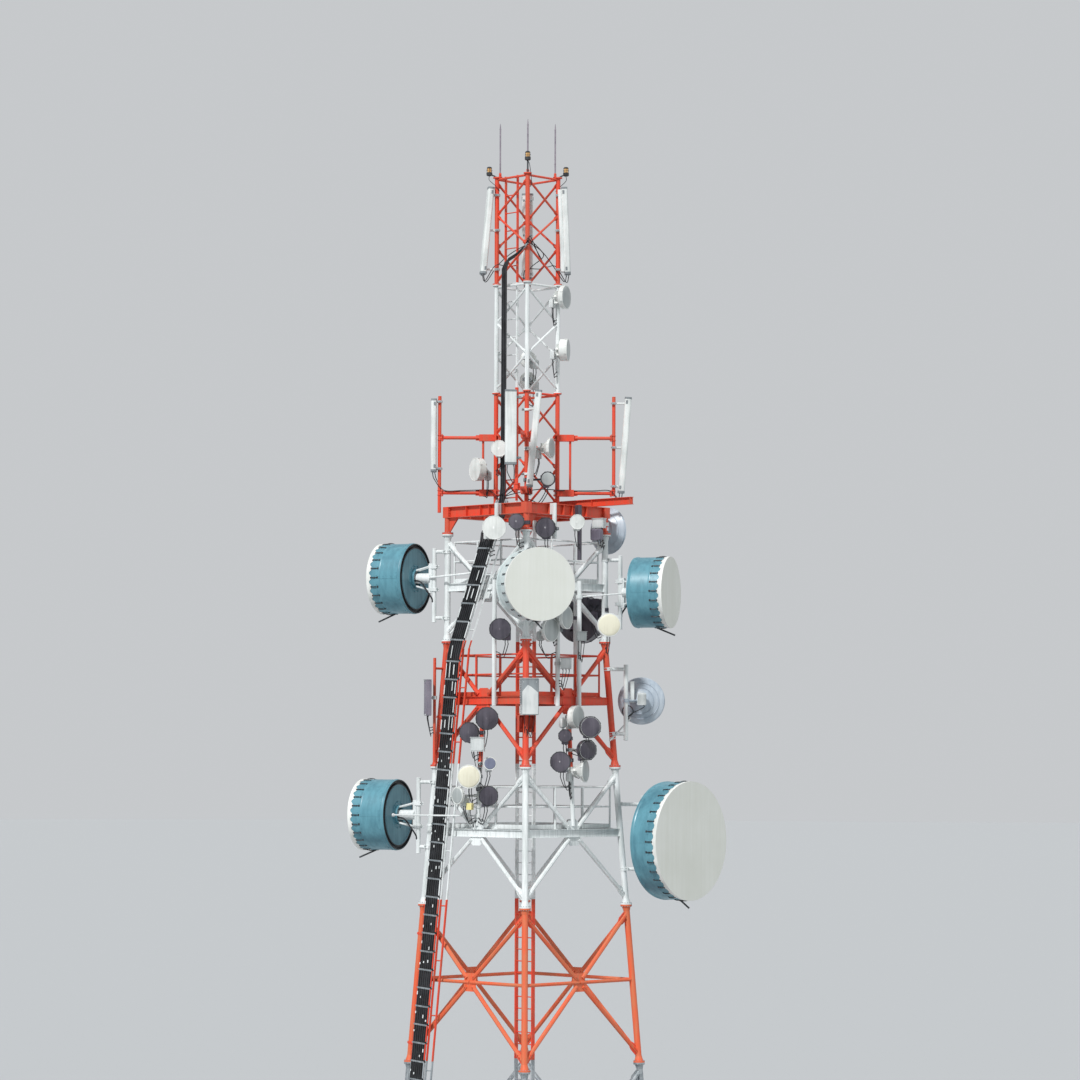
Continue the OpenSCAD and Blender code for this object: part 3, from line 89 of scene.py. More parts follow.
def add_node(tree, kind, settings=(), **links):
    """Adds a node with its settings; a link's value is a node, a socket or a plain value."""
    made = tree.nodes.new(kind)
    for key, value in dict(settings).items():
        setattr(made, key, value)
    for key, value in links.items():
        socket = made.inputs[int(key[1:]) if key[0] == "_" else key.replace("_", " ")]
        value = value.outputs[0] if isinstance(value, bpy.types.Node) else value
        if isinstance(value, bpy.types.NodeSocket):
            tree.links.new(value, socket)
        else:
            socket.default_value = value
    return made


floor_radius = 900.0
bpy.ops.mesh.primitive_circle_add(vertices=96, radius=floor_radius, fill_type="NGON",
                                  location=(0, 0, -0.002))
floor = bpy.context.object
floor.name = "floor"
matte, tree, shader, _ = new_material("matte_floor")
shader.inputs["Roughness"].default_value = 0.9
shader.inputs["Base Color"].default_value = linear("B7BABC")
floor.data.materials.append(matte)
# The camera and mirroring surfaces see a brighter world than the one that lights the tower
world = bpy.data.worlds.new("studio")
world.use_nodes = True
scene.world = world
tree = world.node_tree
ray = add_node(tree, "ShaderNodeLightPath")
seen = add_node(tree, "ShaderNodeMath", {"operation": "MAXIMUM"}, _0=ray.outputs["Is Camera Ray"],
                _1=ray.outputs["Is Glossy Ray"])
strength = add_node(tree, "ShaderNodeMapRange", _0=seen, To_Min=0.48, To_Max=0.64)
background = tree.nodes["Background"]
background.inputs["Color"].default_value = linear("F2F5F8")
tree.links.new(strength.outputs[0], background.inputs["Strength"])
for name, energy, angles, softness in (("key", 2.95, (46, 0, -27), 6),
                                       ("fill", 0.5, (62, 0, 75), 60)):
    lamp = bpy.data.lights.new(name, "SUN")
    lamp.energy = energy
    lamp.angle = math.radians(softness)
    holder = bpy.data.objects.new(name, lamp)
    holder.rotation_euler = [math.radians(a) for a in angles]
    scene.collection.objects.link(holder)


# Painted steel: hot-dip galvanised sections under a brushed alkyd paint in warning
# red and white, chalked by the sun, with faint runs of dirt down each tube.


def surface(tree, shader, colour, gloss, relief):
    """Links a shader's colour, gloss and relief.

    The colour is a socket, or a tone with two stops. The gloss is a tone with its two
    roughnesses and the range of the tone. The relief is a pattern, its strength and depth.
    """
    if isinstance(colour, tuple):
        ramp = add_node(tree, "ShaderNodeValToRGB", Fac=colour[0])
        for stop, (at, code) in zip(ramp.color_ramp.elements, colour[1:]):
            stop.position, stop.color = at, linear(code)
        colour = ramp.outputs[0]
    rough = add_node(tree, "ShaderNodeMapRange",
                     **dict(zip(("_0", "To_Min", "To_Max", "From_Min", "From_Max"), gloss)))
    bump = add_node(tree, "ShaderNodeBump", **dict(zip(("Height", "Strength", "Distance"), relief)))
    tree.links.new(colour, shader.inputs["Base Color"])
    tree.links.new(rough.outputs[0], shader.inputs["Roughness"])
    tree.links.new(bump.outputs[0], shader.inputs["Normal"])


def rain_marks(tree, place, stretch, rain, cloud):
    """Streaks drawn down a surface, a broad cloud, and the two multiplied."""
    drawn = add_node(tree, "ShaderNodeMapping", Vector=place, Scale=stretch)
    streak = add_node(tree, "ShaderNodeTexNoise", Vector=drawn, Scale=1.0, **rain)
    fade = add_node(tree, "ShaderNodeTexNoise", Vector=place, **cloud)
    return streak, fade, add_node(tree, "ShaderNodeMath", {"operation": "MULTIPLY"},
                                  _0=streak, _1=fade)


def painted(name, code, worn_code, roughness=0.5):
    """Brushed paint on steel: broad fading, rain streaks and brush marks."""
    material, tree, shader, place = new_material(name)
    # Real streaks are about 10 mm wide; they are drawn 45 mm wide so that they show
    _, fade, amount = rain_marks(tree, place, (22.0, 22.0, 1.4), {"Detail": 3.0},
                                 {"Scale": 0.9, "Detail": 4.0, "Roughness": 0.6})
    # Brush marks 2 mm wide, drawn 12 mm wide
    grain = add_node(tree, "ShaderNodeTexNoise", Vector=place, Scale=85.0, Detail=2.0)
    surface(tree, shader, (amount, (0.16, worn_code), (0.34, code)),
            (fade, roughness - 0.08, roughness + 0.12), (grain, 0.15, 0.002))
    return material


def finish_nodes(finish, names):
    """Puts a finish on CAD nodes in place of the plain one."""
    for name in names.split():
        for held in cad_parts[name].material_slots:
            held.material = finish[0]


# A finish is a material with its slot
red = painted("brushed_red_alkyd_paint", "E0442A", "C8583F"), "red_paint"
white = painted("brushed_white_alkyd_paint", "E9EDED", "CFD5D4"), "white_paint"
# The lowest red band has faded further, towards orange
faded_red = painted("sun_faded_red_alkyd_paint", "E2603A", "CE7550", 0.55), "red_paint"
finish_nodes(faded_red, "legs_red_low bracing_red_low")
finish_nodes(red, """legs_red_high bracing_red_high platform_middle railing_middle mast_seat
             mast_red_low mast_red_high antenna_frame red_poles""")
finish_nodes(white, """legs_white_low bracing_white_low legs_white_high bracing_white_high
             platform_low platform_high railing_low railing_high mast_white white_poles
             drum_mounts""")


# Bare galvanised steel: the hidden lowest bays, the gratings and the fasteners. Hot-dip
# zinc has a spangle of crystals 5 to 15 mm wide, drawn 60 mm wide here so that it shows.


def zinc_coat(name, dull, bright, metallic=0.0):
    """The mottled grey of a zinc coat."""
    material, tree, shader, place = new_material(name, metallic)
    crystal = add_node(tree, "ShaderNodeTexVoronoi", Vector=place, Scale=16.0)
    cloud = add_node(tree, "ShaderNodeTexNoise", Vector=place, Scale=1.3, Detail=4.0)
    tone = add_node(tree, "ShaderNodeMix", {"data_type": "FLOAT"}, _0=0.45, _2=cloud,
                    _3=crystal.outputs["Color"])
    surface(tree, shader, (tone, (0.3, dull), (0.7, bright)), (tone, 0.62, 0.42),
            (crystal.outputs["Distance"], 0.08, 0.002))
    return material


zinc = zinc_coat("hot_dip_galvanised_steel", "8D9498", "B4BABD", 0.75), "galvanised"
finish_nodes(zinc, "base_plates legs_base bracing_base platform_gratings")


# Leg joints: each leg is bolted together from lengths of round tube, with a ring of
# twelve M24 bolts through every pair of flanges. The lowest flanges stand on the foot.


def spoke(radius, angle, z=0.0):
    """A point at a radius, an angle in degrees and a height."""
    a = math.radians(angle)
    return Vector((radius * math.cos(a), radius * math.sin(a), z))


def laid(point, x, z):
    """A place at a point with its X and its Z."""
    return Matrix.Translation(point) @ Matrix((x, z.cross(x), z)).transposed().to_4x4()


def stand(point, axis, side=(0.0, 0.0, 1.0)):
    """A place whose Z runs along axis and whose X lies as near to side as it can."""
    z = Vector(axis).normalized()
    x = Vector(side) - z * z.dot(Vector(side))
    x = x.normalized() if x.length > 1e-4 else z.orthogonal().normalized()
    return laid(point, x, z)


def turned(profile, place, sides=24):
    """A solid of revolution about a place's Z, or a hoop where the profile is closed."""
    points, rings, faces = [], [], []
    for radius, height in profile:
        count = sides if radius > 1e-6 else 1
        rings.append([len(points) + k % count for k in range(sides)])
        points += [place @ spoke(radius, 360 * k / sides, height) for k in range(count)]
    for low, high in zip(rings, rings[1:]):
        for k in range(sides):
            face = [low[k], low[(k + 1) % sides], high[(k + 1) % sides], high[k]]
            face = [v for j, v in enumerate(face) if v != face[j - 1]]
            if len(face) > 2:
                faces.append(face)
    if profile[0] != profile[-1]:
        faces += [ring for ring in (rings[0][::-1], rings[-1]) if ring[0] != ring[1]]
    return points, faces


def bolt(point, axis, width=0.036, height=0.015):
    """A chamfered hexagon head or nut with its washer, standing on a face."""
    place = stand(point, axis)
    washer = turned([(width * 0.62, 0.0), (width * 0.62, height * 0.22)], place, 8)
    r = width / 2 / math.cos(math.pi / 6)
    head = turned([(r, height * 0.2), (r, height), (r * 0.84, height * 1.2)], place, 6)
    return [washer, head]


def build(name, shapes, finish, crease=32.0):
    """Joins shapes into one piece with a finish, which rides on the tower."""
    points, faces = [], []
    for shape_points, shape_faces in shapes:
        faces += [[len(points) + v for v in face] for face in shape_faces]
        points += shape_points
    mesh = bpy.data.meshes.new(name)
    mesh.from_pydata(points, [], faces)
    mesh.validate()
    mesh.shade_smooth()
    mesh.set_sharp_from_angle(angle=math.radians(crease))
    mesh.materials.append(finish[0])
    piece = bpy.data.objects.new(name, mesh)
    scene.collection.objects.link(piece)
    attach(piece, "root")
    return piece


# Levels of the section joints, as in the part's source, and the lean of the legs
z_joints = [4.9, 9.3, 13.3, 16.8, 20.0, 22.75]
z_red_low, z_white_low, z_red_high, z_white_high, z_seat = z_joints[1:]
top_spread, leg_lean, leg_r, flange_t = 2.02, 0.084, 0.08, 0.04


def leg_spread(z):
    """Distance of a leg's axis from the tower's axis."""
    return top_spread + leg_lean * max(0.0, z_white_high - z)


def leg_at(leg, z):
    """A point on a leg's axis: legs 0 to 3 stand right, rear, left and near."""
    return spoke(leg_spread(z), 90 * leg, z)


def flange_bolts(joints, count, circle, thickness, width):
    """Bolt heads above and nuts below each pair of flanges."""
    return [part for middle in joints for k in range(count) for way, high in ((1, 0.42), (-1, 0.5))
            for part in bolt(middle + spoke(circle, 360 * (k + 0.5) / count, way * thickness),
                             (0, 0, way), width, width * high)]


build("leg_flange_bolts", flange_bolts([leg_at(leg, z) for leg in range(4) for z in z_joints],
                                       12, 0.131, flange_t, 0.026), zinc)


# Anchors: four M36 studs hold each base plate to its foundation, with a thick washer
# and two nuts on each; the stud's thread stands out above them.


def fasten(place, spots, way=(0, 0, 1), width=0.024, height=0.012):
    """Bolts at some spots in a place's own axes, all turned one way."""
    axis = place.to_3x3() @ Vector(way)
    return [part for spot in spots for part in bolt(place @ Vector(spot), axis, width, height)]


anchors = []
plate_top, anchor_circle = 0.05, 0.37
for leg in range(4):
    for k in range(4):
        stud = spoke(leg_spread(plate_top), 90 * leg, plate_top) + spoke(anchor_circle, 90 * k)
        place = stand(stud, (0, 0, 1))
        anchors.append(turned([(0.036, 0.0), (0.036, 0.008)], place, 16))
        anchors += fasten(place, [(0, 0, 0.008)], width=0.055, height=0.03)
        anchors += fasten(place, [(0, 0, 0.046)], width=0.055, height=0.018)
        ridges = [(0.0165 + 0.0015 * (turn % 2), 0.06 + 0.006 * turn) for turn in range(12)]
        anchors.append(turned([(0.018, -0.045), *ridges, (0.013, 0.134), (0.0, 0.134)], place, 12))
build("anchor_studs", anchors, zinc)


# Brace ends: the diagonals are tubes slotted over a fin plate that is welded to the
# leg, and bolted through it; two more bolts hold each to the gusset in the middle.

bays = list(zip([0.0, *z_joints], z_joints, [0.09] * 3 + [0.2] * 3))
brace_r, brace_end = 0.055, 0.215


def heading(bearing):
    """A level direction from its bearing in degrees."""
    return spoke(1.0, bearing)


def up(z):
    """A step straight up."""
    return Vector((0.0, 0.0, z))


def crossing(face, low, high):
    """Where the two diagonals of a bay's face cross."""
    lo, hi = low + brace_end, high - brace_end
    share = leg_spread(lo) / (leg_spread(lo) + leg_spread(hi))
    return leg_at(face, lo).lerp(leg_at(face + 1, hi), share)


def lofted(rings):
    """A skin over rings of points, closed at both ends."""
    n, last = len(rings[0]), len(rings) - 1
    faces = [[n * k + j, n * k + (j + 1) % n, n * (k + 1) + (j + 1) % n, n * (k + 1) + j]
             for k in range(last) for j in range(n)]
    faces += [list(range(n))[::-1], list(range(n * last, n * last + n))]
    return [point for ring in rings for point in ring], faces


def plate(outline, thickness, place):
    """A flat plate: its outline in a place's XY plane, half its thickness each way."""
    return lofted([[place @ Vector((x, y, z)) for x, y in outline]
                   for z in (-thickness / 2, thickness / 2)])


def fin(place, root, shoulder, tip, half, nose, thickness):
    """A fin along a place's X: wider than the tube slotted over it, with cut corners."""
    outline = [(root, -half), (shoulder, -half), (tip, -nose)]
    return plate(outline + [(x, -y) for x, y in outline[::-1]], thickness, place)


def bay_ends(low, high, middle):
    """Fins and bolts of one bay: middle is the depth of the bar at the crossing."""
    shapes = []
    for face in range(4):
        centre = crossing(face, low, high)
        slope = leg_lean / math.sqrt(2) if centre.z < z_white_high else 0.0
        out = (heading(90 * face + 45) + up(slope)).normalized()
        for leg in (face, face + 1):
            for z in (low + brace_end, high - brace_end):
                end = leg_at(leg, z)
                run = (centre - end).normalized()
                shapes.append(fin(laid(end, run, out), 0.07, 0.3, 0.38, 0.095, 0.06, 0.014))
                start = (middle / 2 + 0.015 + brace_r * math.sqrt(1 - run.z ** 2)) / abs(run.z)
                for at in (end + run * 0.17, end + run * 0.26, centre - run * (start + 0.05)):
                    for side in (-1, 1):
                        shapes += bolt(at + out * brace_r * 0.95 * side, out * side, 0.032, 0.014)
    return shapes


for bay, name, finish in zip(
        bays, ("base_1", "base_2", "red_low", "white_low", "red_high", "white_high"),
        (zinc, zinc, red, white, red, white)):
    build("brace_fins_" + name, bay_ends(*bay), finish)


# Platform floors: welded open bar gratings in four panels round the ladder hatch. Real
# bearing bars stand 34 mm apart; they are drawn 60 mm apart to stay clear at a distance.


def block(low, high, place):
    """A bar with square ends between two corners, in a place's own axes."""
    corners = ((low[0], low[1]), (high[0], low[1]), (high[0], high[1]), (low[0], high[1]))
    return lofted([[place @ Vector((x, y, z)) for x, y in corners] for z in (low[2], high[2])])


def apothem(z):
    """Distance from the tower's axis to a face."""
    return leg_spread(z) / math.sqrt(2)


decks = [crossing(0, low, high).z for low, high, _ in bays[3:]]
square_plan = spin(45)
grating_t, bar_step, cross_step, hatch = 0.04, 0.06, 0.1, 0.55
gratings = []
for z in decks:
    edge = apothem(z) - 0.085
    top = z + 0.1
    low = top - grating_t
    for x0, x1, y0, y1 in ((-edge, edge, hatch, edge), (-edge, edge, -edge, -hatch),
                           (hatch, edge, -0.548, 0.548), (-edge, -hatch, -0.548, 0.548)):
        bars = []
        for k in range(int((x1 - x0 - 0.01) / bar_step) + 1):
            x = x0 + bar_step * k
            bars.append(((x, y0, low), (x + 0.005, y1, top)))
        for k in range(int((y1 - y0 - 0.01) / cross_step) + 1):
            y = y0 + cross_step * k
            bars.append(((x0, y, top - 0.012), (x1, y + 0.007, top - 0.003)))
        bars += [((x0, y, low), (x1, y + 0.006, top)) for y in (y0, y1 - 0.006)]
        bars.append(((x1 - 0.006, y0, low), (x1, y1, top)))
        gratings += [block(*bar, square_plan) for bar in bars]
floors = build("open_bar_gratings", gratings, zinc)
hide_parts("platform_gratings")


# Railing feet: each railing post is welded to a small plate that is bolted through the
# grating to the edge beam, painted with the railing.

for z, finish, name in zip(decks, (white, red, white), ("low", "middle", "high")):
    slope = leg_lean / math.sqrt(2) if z < z_white_high else 0.0
    line = apothem(z) - 0.055 - 0.025 - 0.015 - 1.08 * slope
    half = line - 0.065
    feet = []
    for side in range(4):
        turn = spin(45 + 90 * side)
        for k in range(4):
            foot = turn @ Vector((line, -half + 2 * half * k / 3, z + 0.106))
            place = stand(foot, (0, 0, 1), turn @ Vector((1, 0, 0)))
            feet.append(plate([(-0.06, -0.045), (0.06, -0.045), (0.06, 0.045), (-0.06, 0.045)],
                              0.01, place))
            feet.append(turned([(0.034, 0.011), (0.026, 0.022)], place, 12))
            feet += fasten(place, [(-0.045, 0, 0.005), (0.045, 0, 0.005)], width=0.022, height=0.01)
    build("railing_feet_" + name, feet, finish)


# Access ladder: two rails of folded steel with round rungs, painted with the band of the
# tower that it passes. Splice plates join its lengths, and a fall-arrest rail runs up it.

z_mast, z_mast_white, z_mast_red, z_mast_top = 23.45, 26.4, 29.2, 32.0


def banded(name):
    """The tower's own bands on one long piece: zinc, then red and white in turn."""
    material, tree, shader, place = new_material(name)
    height = add_node(tree, "ShaderNodeSeparateXYZ", Vector=place).outputs["Z"]
    whole = 40.0
    share = add_node(tree, "ShaderNodeMath", {"operation": "DIVIDE"}, _0=height, _1=whole)
    bands = []
    for codes in (("A3AAAE", "E0442A", "E9EDED"), ("868E92", "C8583F", "CFD5D4")):
        grey, *paints = [linear(code) for code in codes]
        band = add_node(tree, "ShaderNodeValToRGB", Fac=share)
        ramp = band.color_ramp
        ramp.interpolation = "CONSTANT"
        ramp.elements[0].color = grey
        ramp.elements[1].position, ramp.elements[1].color = z_red_low / whole, paints[0]
        for k, z in enumerate((z_white_low, z_red_high, z_white_high, z_mast, z_mast_white,
                               z_mast_red)):
            ramp.elements.new(z / whole).color = paints[(k + 1) % 2]
        bands.append(band)
    # Worn patches 0.3 m long, as boots and rain leave them
    wear = add_node(tree, "ShaderNodeTexNoise", Vector=place, Scale=3.0, Detail=5.0, Roughness=0.7)
    amount = add_node(tree, "ShaderNodeMapRange", _0=wear, From_Min=0.45, From_Max=0.62)
    tint = add_node(tree, "ShaderNodeMix", {"data_type": "RGBA"}, _0=amount, _6=bands[0],
                    _7=bands[1])
    # Brush marks 2 mm wide, drawn 12 mm wide, as on the tower's own paint
    grain = add_node(tree, "ShaderNodeTexNoise", Vector=place, Scale=85.0, Detail=2.0)
    surface(tree, shader, tint.outputs[2], (wear, 0.42, 0.62), (grain, 0.15, 0.002))
    return material


band_paint = banded("paint_in_the_towers_bands"), "galvanised"
finish_nodes(band_paint, "access_ladder cable_ladder mast_ladder")

ladder_fittings = []
splices = z_joints[1:5]
for z in splices:
    for side in (-1, 1):
        rail = square_plan @ shift(0, side * 0.3265, z)
        ladder_fittings.append(block((-0.035, -0.0055, -0.16), (0.035, 0.0055, 0.16), rail))
        spots = [(0, side * 0.0055, dz) for dz in (-0.11, -0.05, 0.05, 0.11)]
        ladder_fittings += fasten(rail, spots, (0, side, 0))
for low, high in zip([0.0, *splices], [*splices, z_seat + 0.15]):
    corners = [((0.03, -0.004, low + 0.1), (0.055, 0.004, high - 0.004)),
               ((0.055, -0.022, low + 0.1), (0.061, 0.022, high - 0.004))]
    for k in range(1, int((high - low) / 0.3) - 1, 4):
        rung = low + 0.15 + 0.3 * k
        corners.append(((-0.022, -0.03, rung - 0.02), (0.03, 0.03, rung + 0.02)))
    ladder_fittings += [block(*corner, square_plan) for corner in corners]
build("ladder_splices_and_fall_rail", ladder_fittings, band_paint)


# Cable ladder: its rungs carry the feeder cables, and a galvanised bar is bolted down
# across the cables at each rung. Bands round the left leg hold the ladder's brackets.

# Above the last joint the tray leans over towards the mast
z_tray_bend, tray_rise, tray_shift, rung_step = z_white_high - 0.2, 2.69, 1.13, 0.46


def tray_at(t, n, z):
    """A point along the near-left face: t from the left leg, n outside the face."""
    lean = tray_shift * max(0.0, z - z_tray_bend) / tray_rise
    return leg_at(2, z) + (t + lean) * heading(-45) + n * heading(225)


clamp_bars = []
rungs = [0.63 + rung_step * k for k in range(2, 42)]
rungs += [z_tray_bend + 0.237 + rung_step * k for k in range(6)]
for z in rungs:
    p, q = tray_at(0.28, 0.243, z), tray_at(0.77, 0.243, z - 0.0327 * 0.9)
    length = (q - p).length
    place = laid(p, (q - p).normalized(), heading(225))
    clamp_bars.append(block((0, -0.021, 0), (length, 0.021, 0.006), place))
    spots = [(min(max(length * (k + 0.02) / 7.04, 0.012), length - 0.012), 0, 0.006)
             for k in range(8)]
    clamp_bars += fasten(place, spots, width=0.018, height=0.009)
build("cable_clamp_bars", clamp_bars, zinc)

# White hangers stand between the cables, longer ones above, and a stringer runs up the
# side of the tray that faces the climbing ladder. The short white bits set at random on
# the lower cables are partly painted highlights: glints of light on the black sheaths.
hangers_and_glints, stringer = [], []
chance = random.Random(7)
for low, high in zip(rungs[:-1], rungs[1:]):
    steep = low > z_red_high + 0.6
    for at, keep in ((0.32, 0.75), (0.45, 0.4), (0.6, 0.6), (0.71, 0.35), (0.785, 1.0)):
        if chance.random() > keep:
            continue
        a, b = low + 0.03, high - 0.03
        if keep < 1 and steep:
            a, b = a + 0.13 * chance.random(), b - 0.13 * chance.random()
        elif keep < 1:
            a += 0.3 * chance.random()
            b = a + 0.04 + 0.05 * chance.random()
        wide = 0.016 if keep == 1 else 0.009 + 0.007 * chance.random()
        p, q = tray_at(at, 0.25, a), tray_at(at, 0.25, b)
        place = stand((p + q) / 2, q - p, heading(225))
        half = (q - p).length / 2
        (stringer if keep == 1 else hangers_and_glints).append(
            block((-0.006, -wide, -half), (0.006, wide, half), place))
build("cable_tray_stringer", stringer, band_paint)
build("cable_hangers", hangers_and_glints, white)


def pinned(place, reach, y=0.0):
    """A bolt through a pair of ears along a place's X: its head and its nut."""
    return [part for way in (-1, 1) for part in fasten(place, [(way * reach, y, 0)], (way, 0, 0))]


leg_bands = []
for k in range(7):
    place = stand(leg_at(2, 1.5 + 2.76 * k) - up(0.03), (leg_lean, 0, 1), heading(225))
    inner, outer = leg_r + 0.0005, leg_r + 0.008
    hoop = [(inner, 0.0), (outer, 0.0), (outer, 0.06), (inner, 0.06), (inner, 0.0)]
    leg_bands.append(turned(hoop, place, 32))
    for side in (-1, 1):
        ear = place @ shift(0, side * 0.112, 0.03)
        leg_bands.append(block((-0.016, -0.026, -0.03), (0.016, 0.026, 0.03), ear))
        leg_bands += pinned(ear, 0.016)
build("tray_leg_bands", leg_bands, band_paint)


# Feeder cables: corrugated copper coaxial cable under a black polyethylene sheath. The
# sheath is smooth and slightly shiny, dusty in patches.

material, tree, shader, place = new_material("black_polyethylene_sheath")
# Dust gathers in patches about 0.45 m long
dust = add_node(tree, "ShaderNodeTexNoise", Vector=place, Scale=2.2, Detail=6.0, Roughness=0.65)
# The corrugation under the sheath repeats every 6 mm, drawn every 20 mm
ripple = add_node(tree, "ShaderNodeTexWave", {"bands_direction": "Z"}, Vector=place, Scale=16.0)
surface(tree, shader, (dust, (0.42, "16171A"), (0.75, "35373B")), (dust, 0.32, 0.6),
        (ripple, 0.1, 0.002))
sheath = material, "cable_sheath"
finish_nodes(sheath, "feeder_cables")


# Mast seat: the side beams are bolted to the box corners through end plates, with web
# stiffeners under the load, and each mast leg stands on its pad with four M24 bolts.


def boxed(centre, size, place=Matrix()):
    """A block by its middle and its full sizes."""
    half = Vector(size) / 2
    return block(Vector(centre) - half, Vector(centre) + half, place)


mast_spread, mast_r = 0.79, 0.057


def mast_leg(leg, z):
    """A point on a mast leg's axis."""
    return spoke(mast_spread, 90 * leg, z)


seat = []
z_beam, half = z_mast - 0.14, apothem(z_seat)
for side in range(4):
    turn = spin(45 + 90 * side)
    for end in (-1, 1):
        seat += [boxed((half + web * 0.047, end * at, z_beam), (0.082, wide, 0.247), turn)
                 for at, wide in ((half - 0.098, 0.016), (half - 0.75, 0.012), (0.16, 0.012))
                 for web in (-1, 1)]
        spots = [(half + web, end * (half - 0.106), z_beam + dz)
                 for dz in (-0.07, 0.0, 0.07) for web in (-0.05, 0.05)]
        seat += fasten(turn, spots, (0, -end, 0), 0.03, 0.014)
    pad = Matrix.Translation(mast_leg(side, z_mast + 0.028))
    seat += fasten(pad, [(x, y, 0) for x in (-0.058, 0.058) for y in (-0.058, 0.058)],
                   width=0.026, height=0.013)
seat += [boxed((0.975 + web * 0.031, y, z_mast + 0.0953), (0.054, 0.01, 0.164), square_plan)
         for y in (-2.78, -1.43, 1.35) for web in (-1, 1)]
seat += fasten(square_plan, [(0.975 + x, y, z_mast + 0.0123) for x in (-0.045, 0.045)
                             for y in (-1.46, -1.39, 1.39, 1.46)])
build("seat_stiffeners_and_bolts", seat, red)


# Mast joints: each pair of leg flanges has eight M16 bolts, and the lacing bars are
# welded to lugs that stand on the legs, with two bolts through each.

joints = [mast_leg(leg, z) for leg in range(4) for z in (z_mast_white, z_mast_red)]
mast_joints = flange_bolts(joints, 8, 0.083, 0.028, 0.022)
for leg in range(4):
    top = Matrix.Translation(mast_leg(leg, z_mast_top))
    mast_joints += fasten(top, [spoke(0.083, 45 * k + 22.5) for k in range(8)],
                          width=0.022, height=0.01)
build("mast_flange_bolts", mast_joints, zinc)

for low, high, finish, name in ((z_mast, z_mast_white, red, "low"),
                                (z_mast_white, z_mast_red, white, "white"),
                                (z_mast_red, z_mast_top, red, "high")):
    lugs = []
    step = (high - low - 0.236) / 3
    for face, (start, far) in enumerate(((0, 1), (2, 1), (3, 2), (3, 0))):
        for k in range(3):
            a, b = (far, start) if k % 2 else (start, far)
            ends = [mast_leg(leg, high - 0.148 - j * step) for leg, j in ((a, k), (b, k + 1))]
            for end, other in (ends, ends[::-1]):
                place = laid(end, (other - end).normalized(), heading(90 * face + 45))
                lugs.append(fin(place, 0.045, 0.15, 0.19, 0.05, 0.03, 0.01))
                for side in (-1, 1):
                    spots = [(at, 0, 0.0285 * side) for at in (0.1, 0.155)]
                    lugs += fasten(place, spots, (0, 0, side), 0.02, 0.01)
    build("mast_lacing_lugs_" + name, lugs, finish)


# Antenna frame: each box sleeve is drawn onto its mast leg by a back plate and four
# threaded rods, and each arm holds its end pole with two U-bolts on a saddle.


def swept(way, radius, sides=8, place=Matrix()):
    """A round bar or cable along a way of spots in a place's own axes."""
    way = [place @ Vector(p) for p in way]
    rings, across = [], None
    for k, p in enumerate(way):
        run = (way[min(k + 1, len(way) - 1)] - way[max(k - 1, 0)]).normalized()
        across = run.orthogonal() if across is None else across - run * across.dot(run)
        spot = laid(p, across.normalized(), run)
        rings.append([spot @ spoke(radius, 360 * j / sides) for j in range(sides)])
    return lofted(rings)


def u_bolt(middle, axis, toward, radius, thick=0.008):
    """A U-bolt round a tube: its legs point toward the saddle and end in nuts."""
    place = stand(middle, axis, toward)
    tail, saddle = radius + 0.05, radius + 0.022
    bow = [spoke(radius, 90 + 15 * k) for k in range(13)]
    return [swept([(tail, radius, 0), *bow, (tail, -radius, 0)], thick, 6, place),
            boxed((saddle, 0, 0), (0.01, 2 * radius + 0.05, 0.05), place),
            *fasten(place, [(saddle + 0.005, y, 0) for y in (-radius, radius)], (1, 0, 0))]


z_arm, arm_reach, arm_pole_r = z_mast + 0.37, 2.24, 0.0445
clamps, arm_tips = [], []
for bearing, under in ((0, 0.06), (180, 0.5), (260, 0.06)):
    foot = heading(round(bearing / 90) * 90) * mast_spread
    tip = foot + heading(bearing) * (arm_reach - mast_spread)
    arm_tips.append(tip)
    for z in (z_arm, z_mast + 1.79):
        place = Matrix.Translation(foot + up(z)) @ spin(bearing)
        clamps.append(boxed((-0.075, 0, 0), (0.014, 0.28, 0.17), place))
        clamps.append(boxed((0.47, 0, 0), (0.1, 0.012, 0.14), place))
        for y in (-0.115, 0.115):
            clamps.append(boxed((0.02, y * 0.96, 0), (0.06, 0.05, 0.17), place))
            for dz in (-0.055, 0.055):
                clamps.append(swept([(-0.1, y, dz), (0.07, y, dz)], 0.008, 8, place))
                clamps += fasten(place, [(-0.082, y, dz)], (-1, 0, 0))
                clamps += fasten(place, [(0.05, y, dz)], (1, 0, 0))
        for dz in (-0.06, 0.06):
            clamps += u_bolt(tip + up(z + dz), (0, 0, 1), -heading(bearing), 0.052)
        end = Matrix.Translation(tip + up(z)) @ spin(bearing)
        clamps.append(boxed((-0.062, 0, 0), (0.014, 0.17, 0.19), end))
    for z, way in ((z_arm - under, -1), (z_mast + 2.85, 1)):
        cap = [(arm_pole_r, -0.001), (0.047, 0.0), (0.047, 0.008), (0.03, 0.016), (0.0, 0.018)]
        clamps.append(turned(cap, stand(tip + up(z), (0, 0, way)), 20))
for x in (-1.12, 1.12):
    for z, way in ((z_mast + 0.4153, 1), (z_mast + 1.7447, -1)):
        foot = stand((x, 0, z), (0, 0, way))
        clamps.append(boxed((0, 0, 0.006), (0.13, 0.1, 0.012), foot))
        clamps += fasten(foot, [(-0.048, 0, 0.012), (0.048, 0, 0.012)], width=0.02, height=0.01)
build("antenna_frame_clamps", clamps, red)


# Panel antennas: a white fibreglass radome over each array, ribbed lightly down its
# length, with a grey end cap at each end and cable connectors under the lower one.


